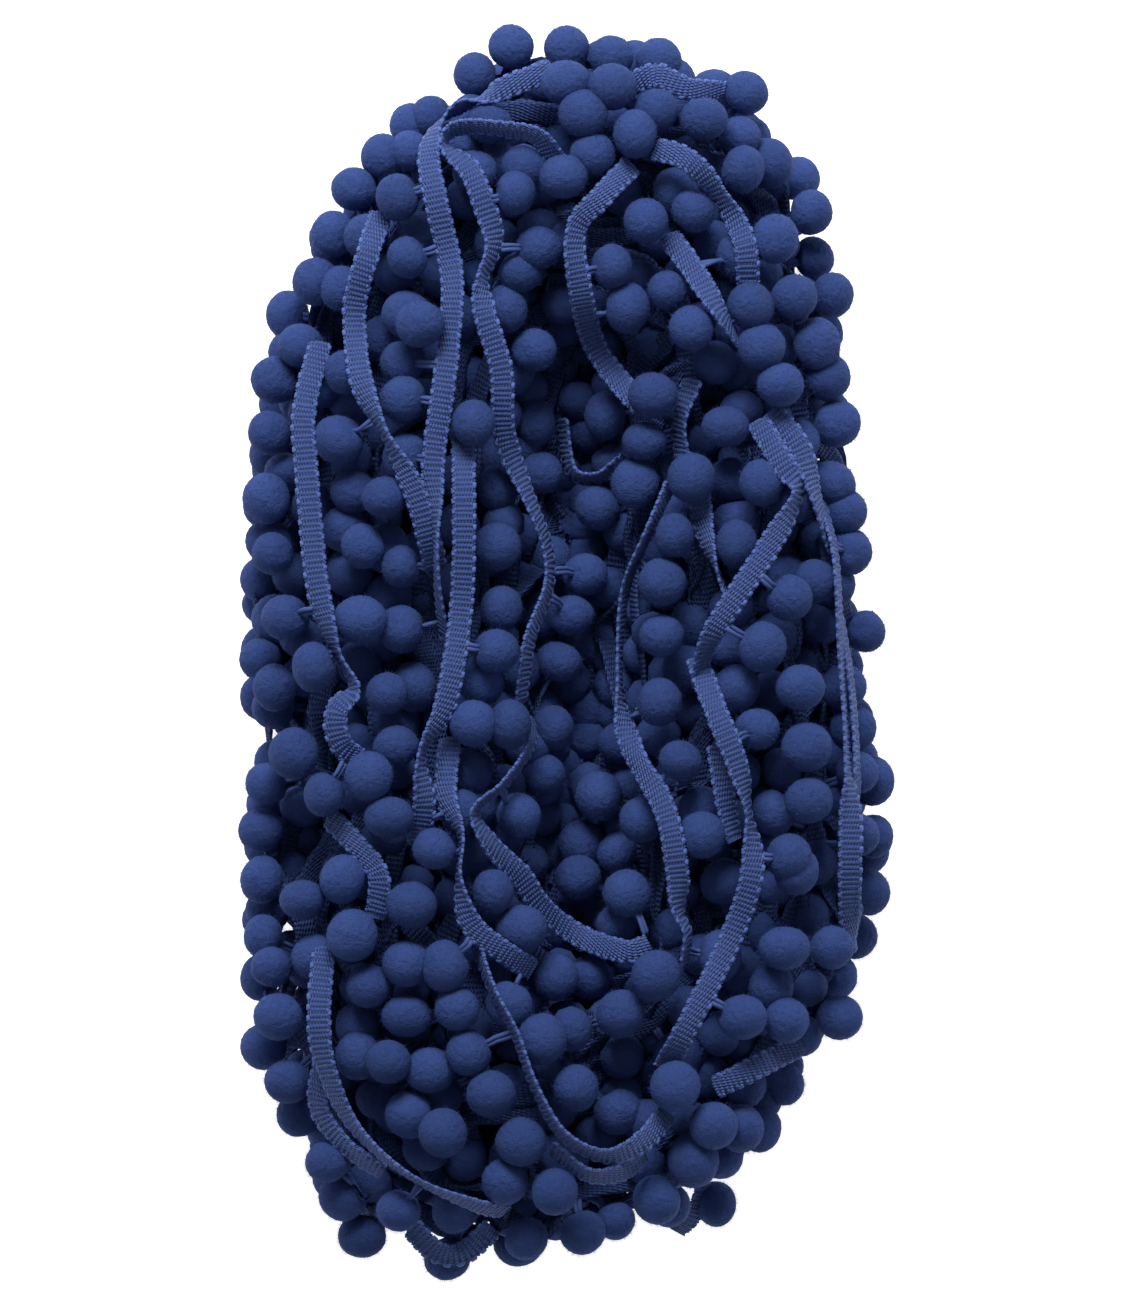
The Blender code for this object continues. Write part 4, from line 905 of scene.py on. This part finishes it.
def woven_tape(tape, rng):
    """The woven tape: one weft cord to and fro over a thin web, turning back in a loop at each edge."""
    reach = (TAPE_WIDTH - WEFT_WIDTH) / 2
    steps = np.array(WEFT_STEPS) * reach
    places, across = [], []
    for rib in range(int(tape.length[-1] / RIB_PITCH)):
        way = 1 if rib % 2 else -1
        place = (rib + RIB_WANDER * rng.normal()) * RIB_PITCH
        edge = way * (reach + rng.uniform(0, 1) * SCALLOP)
        places += [place] * len(steps) + [(rib + step) * RIB_PITCH for step in LOOP_STEPS]
        across += [*(way * steps), edge, edge]
    places = np.clip(places, 0, tape.length[-1])
    across = np.array(across)
    middle, out, face = sampled(tape, places)
    points, faces = tube(middle + across[:, None] * out, face, WEFT_WIDTH, WEFT_THICKNESS, WEFT_SIDES)
    marks = np.repeat(np.stack([places, across + TAPE_WIDTH], axis=1) / MM, WEFT_SIDES, axis=0)
    return joined([(points, faces, marks), web_strip(tape)])


def web_strip(tape):
    """The thin web of the warps: a flat band with a small tooth at each edge between two weft loops."""
    places = np.arange(0, tape.length[-1], RIB_PITCH / 2)
    half = np.full((len(places), 2), WEB_WIDTH / 2)
    half[1::4, 1] += TOOTH
    half[3::4, 0] += TOOTH
    ways, heights = np.array(WEB_SECTION).T
    return band(tape, places, half[:, [0, 0, 1, 1]] * ways, heights * WEB_THICKNESS / 2)


def band(tape, places, across, heights, stretch=1):
    """A closed band along the tape, from how far across it and how high the points of its section are."""
    middle, out, face = sampled(tape, places)
    points = middle[:, None] + (stretch * across)[..., None] * out[:, None] + heights[:, None] * face[:, None]
    points = points.reshape(-1, 3)
    faces = ring_faces(len(places), len(heights))[:, [0, 3, 2, 1]]
    marks = np.stack(np.broadcast_arrays(places[:, None], across + TAPE_WIDTH), axis=2) / MM
    return points, turned_out(points, faces), marks.reshape(-1, 2)


def ribbon_tape(tape):
    """The tape of a wound turn: a flat band with uneven edges, its ribs left to its material."""
    places = np.arange(0, tape.length[-1], RIBBON_STEP)
    ways, heights = np.array(RIBBON_SECTION).T
    uneven = 1 + np.where(np.arange(len(places)) % 2, SCALLOP, -SCALLOP) / TAPE_WIDTH
    return band(tape, places, ways * TAPE_WIDTH / 2, heights * RIBBON_THICKNESS / 2, uneven[:, None])


def ball_template(subdivisions):
    ball = bpy.data.meshes.new("ball")
    built = bmesh.new()
    bmesh.ops.create_icosphere(built, subdivisions=subdivisions, radius=1)
    built.to_mesh(ball)
    built.free()
    ways = np.empty(len(ball.vertices) * 3)
    ball.vertices.foreach_get("co", ways)
    faces = np.empty(len(ball.polygons) * 3, np.int64)
    ball.polygons.foreach_get("vertices", faces)
    bpy.data.meshes.remove(ball)
    return ways.reshape(-1, 3), faces.reshape(-1, 3)


def pompom_shape(centre, radius, stem, rng):
    """How one pompom is shaped: a ball a little out of round, with soft lumps and a dimple at its stem."""
    stretch = 1 + rng.normal(size=3) * OUT_OF_ROUND
    lumps = [
        (units(rng.normal(size=3)), rng.uniform(*LUMP_SIZE), rng.uniform(0, LUMP_START)) for _ in range(LUMPS)
    ]
    draw = rng.uniform(0, DRAWN_IN)

    def surface(ways):
        reach = np.full(len(ways), radius)
        for number, (axis, size, start) in enumerate(lumps):
            reach *= 1 + size * np.sin((2 * number + 3) * ways @ axis + start)
        facing = ways @ stem
        reach *= 1 - STEM_DIMPLE * np.exp((facing - 1) / DIMPLE_WIDTH)
        return centre + reach[:, None] * stretch * (ways - draw * facing[:, None] * stem)

    return surface


def pompom_part(numbers, subdivisions, shapes, tints):
    ways, faces = ball_template(subdivisions)
    return joined([(shapes[number](ways), faces, np.full(len(ways), tints[number])) for number in numbers])


def fuzz_part(numbers, hairs, shapes, tints, rng):
    """Short fine hairs that stand out of the pompoms, each one thin triangle."""
    parts = []
    for number in numbers:
        ways = units(rng.normal(size=(hairs, 3)))
        feet = shapes[number](ways)
        lean = units(ways + FUZZ_LEAN * rng.normal(size=ways.shape))
        side = units(np.cross(lean, rng.normal(size=ways.shape))) * FUZZ_WIDTH / 2
        tips = feet + rng.uniform(*FUZZ_LENGTH, hairs)[:, None] * lean
        feet = feet - FUZZ_LENGTH[0] * ways
        points = np.stack([feet - side, feet + side, tips], axis=1).reshape(-1, 3)
        parts.append((points, np.arange(len(points)).reshape(-1, 3), np.full(len(points), tints[number])))
    return joined(parts)


def stem_part(numbers, centres, radii, tapes, owners, rng):
    """The weft loop drawn out to each pompom, as two strands."""
    parts = []
    shares = np.array(STEM_POINTS)[:, None]
    for number in numbers:
        tape = tapes[owners[number]]
        station = np.linalg.norm(tape.middle - centres[number], axis=1).argmin()
        edge = tape.middle[station] + STEM_START * tape.out[station]
        goal = centres[number] - STEM_END * radii[number] * units(centres[number] - edge)
        if np.linalg.norm(goal - edge) > LONGEST_STEM:
            continue
        along = tape.along[station] + STEM_TWIST * rng.normal() * tape.face[station]
        sag = rng.normal(size=3) * STEM_SAG
        cross = rng.choice(STRAND_CROSSINGS)
        for side in (-0.5, 0.5):
            start = edge + side * STRAND_SPREAD * along
            end = goal + side * cross * STRAND_SPREAD * along
            path = start + (end - start) * shares + sag * 4 * shares * (1 - shares)
            points, faces = tube(path, tape.face[station], STRAND, STRAND, STRAND_SIDES)
            parts.append((points, faces, np.full((len(points), 2), TAPE_WIDTH / MM)))
    return joined(parts)


# Materials.


class Shader:
    """A material in the making. What its nodes give is joined to the inputs of others, or of its surface."""

    def __init__(self, name):
        self.material = bpy.data.materials.new(name)
        self.material.use_nodes = True
        self.surface = self.material.node_tree.nodes["Principled BSDF"]

    def fill(self, node, inputs):
        """Joins each input to what another node gives, or sets it to a constant."""
        for name, value in inputs.items():
            if isinstance(value, bpy.types.NodeSocket):
                self.material.node_tree.links.new(value, node.inputs[name])
            else:
                node.inputs[name].default_value = value

    def node(self, kind, output, inputs=None, **settings):
        """Adds a node and returns one of its outputs."""
        node = self.material.node_tree.nodes.new("ShaderNode" + kind)
        for name, value in settings.items():
            setattr(node, name, value)
        self.fill(node, inputs or {})
        return node.outputs[output]

    def noise(self, scale, detail):
        place = self.node("TexCoord", "Object")
        return self.node("TexNoise", "Fac", {"Vector": place, "Scale": scale, "Detail": detail})

    def colour(self, share, low, high):
        inputs = {"Factor": share, "A": (*low, 1), "B": (*high, 1)}
        return self.node("Mix", "Result", inputs, data_type="RGBA")

    def blend(self, first, second, share):
        return self.node("Mix", "Result", {"Factor": share, "A": first, "B": second})

    def steeper(self, value, low, high):
        """The share of the way that the value is from low to high."""
        return self.node("MapRange", "Result", {"Value": value, "From Min": low, "From Max": high})

    def wave(self, way, pitch):
        """Waves the given way over the tape's own map, which is in millimetres along and across it."""
        thread = self.node("UVMap", "UV", uv_map="thread")
        place = self.node("VectorMath", "Value", {0: thread, 1: (*way, 0)}, operation="DOT_PRODUCT")
        inputs = {"Vector": place, "Scale": WAVE_UNIT / (pitch / MM)}
        inputs.update({"Distortion": WAVE_DISTORTION, "Phase Offset": math.pi})
        return self.node("TexWave", "Fac", inputs)

    def edges(self):
        """Painted highlight: one at the two edges of the tape, where the weft turns back, falling to nothing
        inside.
        """
        across = self.node("SeparateXYZ", "Y", {"Vector": self.node("UVMap", "UV", uv_map="thread")})
        from_middle = self.node("Math", "Value", {0: across, 1: TAPE_WIDTH / MM}, operation="SUBTRACT")
        away = self.node("Math", "Value", {0: from_middle}, operation="ABSOLUTE")
        return self.steeper(away, *(share * TAPE_WIDTH / 2 / MM for share in PAINTED_EDGE_HIGHLIGHT_BAND))

    def bump(self, *heights):
        """Chains a bump for each (height, strength, distance) and joins the last to the surface."""
        chain = {}
        for height, strength, distance in heights:
            chain.update({"Height": height, "Strength": strength, "Distance": distance})
            chain["Normal"] = self.node("Bump", "Normal", chain)
        self.fill(self.surface, {"Normal": chain["Normal"]})


def felt_material():
    """Dense yarn pompoms: matt navy, a little mottled, with a bluish bloom at their edges."""
    shader = Shader("pompom_felt")
    tint = shader.node("Attribute", "Fac", attribute_name="tint")
    share = shader.blend(shader.noise(*FELT_MOTTLE), tint, TINT_SHARE)
    share = shader.blend(share, shader.noise(*FELT_GRAIN), GRAIN_SHARE)
    shader.fill(shader.surface, {
        "Base Color": shader.colour(share, FELT_DARK, FELT_LIGHT),
        "Roughness": 0.95,
        "Specular IOR Level": 0.2,
        "Sheen Weight": 0.06,
        "Sheen Roughness": 0.45,
        "Sheen Tint": FELT_SHEEN,
    })
    lumps, fibres = shader.noise(*FELT_LUMPS), shader.noise(*FELT_FIBRES)
    shader.bump((lumps, *FELT_LUMP_BUMP), (fibres, *FELT_FIBRE_BUMP))
    return shader.material


def thread_material(name, ribs, painted_shade_factor):
    """Dyed woven tape: fine warps show as rows of small stitches. With ribs, the weft shows as ridges too.
    Its colour holds painted highlights on the stitches, the weft's crests and the edges, and painted shade in
    the grooves; the factor darkens it all as painted shade.
    """
    shader = Shader(name)
    stitches = shader.wave((WARP_PITCH / RIB_PITCH / 2, 1), WARP_PITCH)
    crests = shader.wave((1, 0), RIB_PITCH)
    # Painted highlights on the stitches and the weft's crests, painted shade in the grooves between them.
    painted_thread_light = {0: shader.steeper(stitches, *PAINTED_STITCH_LIGHT_BAND), 1: shader.steeper(crests, *PAINTED_CREST_LIGHT_BAND)}
    painted_thread_light = shader.node("Math", "Value", painted_thread_light, operation="MAXIMUM")
    share = shader.blend(shader.noise(*TAPE_MOTTLE), painted_thread_light, PAINTED_THREAD_LIGHT_SHARE)
    # Painted highlight along both edges of the tape.
    share = shader.blend(share, shader.edges(), PAINTED_EDGE_HIGHLIGHT_SHARE)
    # Painted shade: the colours are darkened by the factor, for the hidden tapes deep in the heap.
    dark, light = (tuple(painted_shade_factor * part for part in colour) for colour in (TAPE_DARK, TAPE_LIGHT))
    shader.fill(shader.surface, {
        "Base Color": shader.colour(share, dark, light),
        "Roughness": 0.7,
        "Specular IOR Level": 0.1 if ribs else 0.35,
        "Sheen Weight": 0.05 if ribs else 0.15,
        "Sheen Roughness": 0.4,
        "Sheen Tint": TAPE_SHEEN,
    })
    ridges = [(crests, *RIB_BUMP)] if ribs else []
    shader.bump(*ridges, (stitches, *STITCH_BUMP), (shader.noise(*TAPE_FIBRES), *TAPE_FIBRE_BUMP))
    return shader.material


def floor_material():
    shader = Shader("white_surface")
    shader.fill(shader.surface, {
        "Base Color": shader.colour(shader.noise(*FLOOR_GRAIN), *FLOOR_TONES),
        "Emission Color": (1, 1, 1, 1),
        "Emission Strength": FLOOR_GLOW,
        "Roughness": 0.9,
        "Specular IOR Level": 0.1,
    })
    return shader.material


# Studio.


def add_floor():
    mesh = bpy.data.meshes.new("floor")
    corners = [(x * FLOOR_HALF, y * FLOOR_HALF, 0) for x, y in ((-1, -1), (1, -1), (1, 1), (-1, 1))]
    mesh.from_pydata(corners, [], [(0, 1, 2, 3)])
    mesh.materials.append(floor_material())
    floor = bpy.data.objects.new("floor", mesh)
    bpy.context.collection.objects.link(floor)


def add_lights():
    """A broad soft lamp beyond the top of the skein, weaker ones at both sides, and a dim white room."""
    for name, place, goal, size, power in LAMPS:
        lamp = bpy.data.lights.new(name, "AREA")
        lamp.shape = "RECTANGLE"
        lamp.size, lamp.size_y = size
        lamp.energy = power
        made = bpy.data.objects.new(name, lamp)
        made.location = place
        made.rotation_euler = (Vector(goal) - Vector(place)).to_track_quat("-Z", "Y").to_euler()
        bpy.context.collection.objects.link(made)
    world = bpy.data.worlds.new("white room")
    world.use_nodes = True
    world.node_tree.nodes["Background"].inputs["Color"].default_value = ROOM_COLOUR
    world.node_tree.nodes["Background"].inputs["Strength"].default_value = ROOM_LIGHT
    bpy.context.scene.world = world


def add_camera():
    """Straight above the skein, framed as the photograph."""
    data = bpy.data.cameras.new("camera")
    data.sensor_width = SENSOR
    data.lens = SENSOR * (CAMERA_HEIGHT - FOCUS_HEIGHT) / (PICTURE[1] / PIXELS_PER_METRE)
    camera = bpy.data.objects.new("camera", data)
    camera.location = (*PICTURE_MIDDLE, CAMERA_HEIGHT)
    bpy.context.collection.objects.link(camera)
    bpy.context.scene.camera = camera


def dress_hank(felt, weave, band_weave_painted_shade, rng, layout_rng):
    """The hank's pieces. The order of the random draws fixes how it looks."""
    tapes, centres, radii, roots, owners = laid_trim(rng, layout_rng)
    fine, medium, coarse = by_view(centres, radii)
    stems = stem_part(np.concatenate([fine, medium]), centres, radii, tapes, owners, rng)
    fillers = floor_fillers(centres)
    coarse = np.concatenate([coarse, len(centres) + np.arange(len(fillers))])
    centres = np.vstack([centres, fillers])
    radii = np.append(radii, np.full(len(fillers), POMPOM_RADIUS))
    hang = units(np.vstack([roots, fillers + (0, 0, POMPOM_REACH)]) - centres)
    tints = rng.uniform(*TINTS, len(centres))
    shapes = [pompom_shape(*pompom, rng) for pompom in zip(centres, radii, hang)]
    groups = (("pompoms_top", fine), ("pompoms_round", medium), ("pompoms_inside", coarse))
    for (name, numbers), level in zip(groups, BALL_LEVELS):
        new_piece(name, pompom_part(numbers, level, shapes, tints), felt, "hank")
    head, foot = np.array_split(fine[np.argsort(-centres[fine, 1])], 2)
    many, few = FUZZ_HAIRS
    groups = (("fuzz_head", head, many), ("fuzz_foot", foot, many), ("fuzz_round", medium, few))
    for name, numbers, hairs in groups:
        new_piece(name, fuzz_part(numbers, hairs, shapes, tints, rng), felt, "hank")
    new_piece("stems", stems, weave, "hank")
    shown = [tape for tape in tapes if tape.shown]
    half = len(shown) // 2
    for name, some in (("loose_tape_first", shown[:half]), ("loose_tape_second", shown[half:])):
        new_piece(name, joined([woven_tape(tape, rng) for tape in some]), weave, "hank")
    wound = joined([ribbon_tape(tape) for tape in tapes if not tape.shown])
    new_piece("wound_tape", wound, band_weave_painted_shade, "hank")


def dress_loose_end(felt, weave, rng):
    tape = loose_end_tape()
    tape.middle[:, :2] += LOOSE_END_MOVE
    centre = np.array([*(from_table(LAST_POMPOM) + LOOSE_END_MOVE), LAST_POMPOM_RADIUS - LAST_SINK])
    hang = units(tape.middle[tape.stations()[0]] - centre)
    shapes = [pompom_shape(centre, LAST_POMPOM_RADIUS, hang, rng)]
    tints = [sum(TINTS) / 2]
    pompom = pompom_part([0], LAST_BALL_LEVEL, shapes, tints)
    new_piece("last_pompom", pompom, felt, "loose_end")
    fuzz = fuzz_part([0], FUZZ_HAIRS[0], shapes, tints, rng)
    new_piece("last_pompom_fuzz", fuzz, felt, "loose_end")
    stem = stem_part([0], centre[None], [LAST_POMPOM_RADIUS], [tape], [0], rng)
    new_piece("loose_end_tape", joined([woven_tape(tape, rng), stem]), weave, "loose_end")


def main():
    felt = felt_material()
    weave = thread_material("woven_tape", ribs=False, painted_shade_factor=1)
    band_weave_painted_shade = thread_material("wound_tape", ribs=True, painted_shade_factor=PAINTED_SHADE_OF_WOUND_TAPE)
    rng = np.random.default_rng(SEED + 1)
    dress_hank(felt, weave, band_weave_painted_shade, rng, np.random.default_rng(SEED))
    dress_loose_end(felt, weave, rng)
    add_floor()
    add_lights()
    add_camera()
    bpy.context.scene.view_settings.view_transform = "Standard"


main()
bpy.context.view_layer.update()
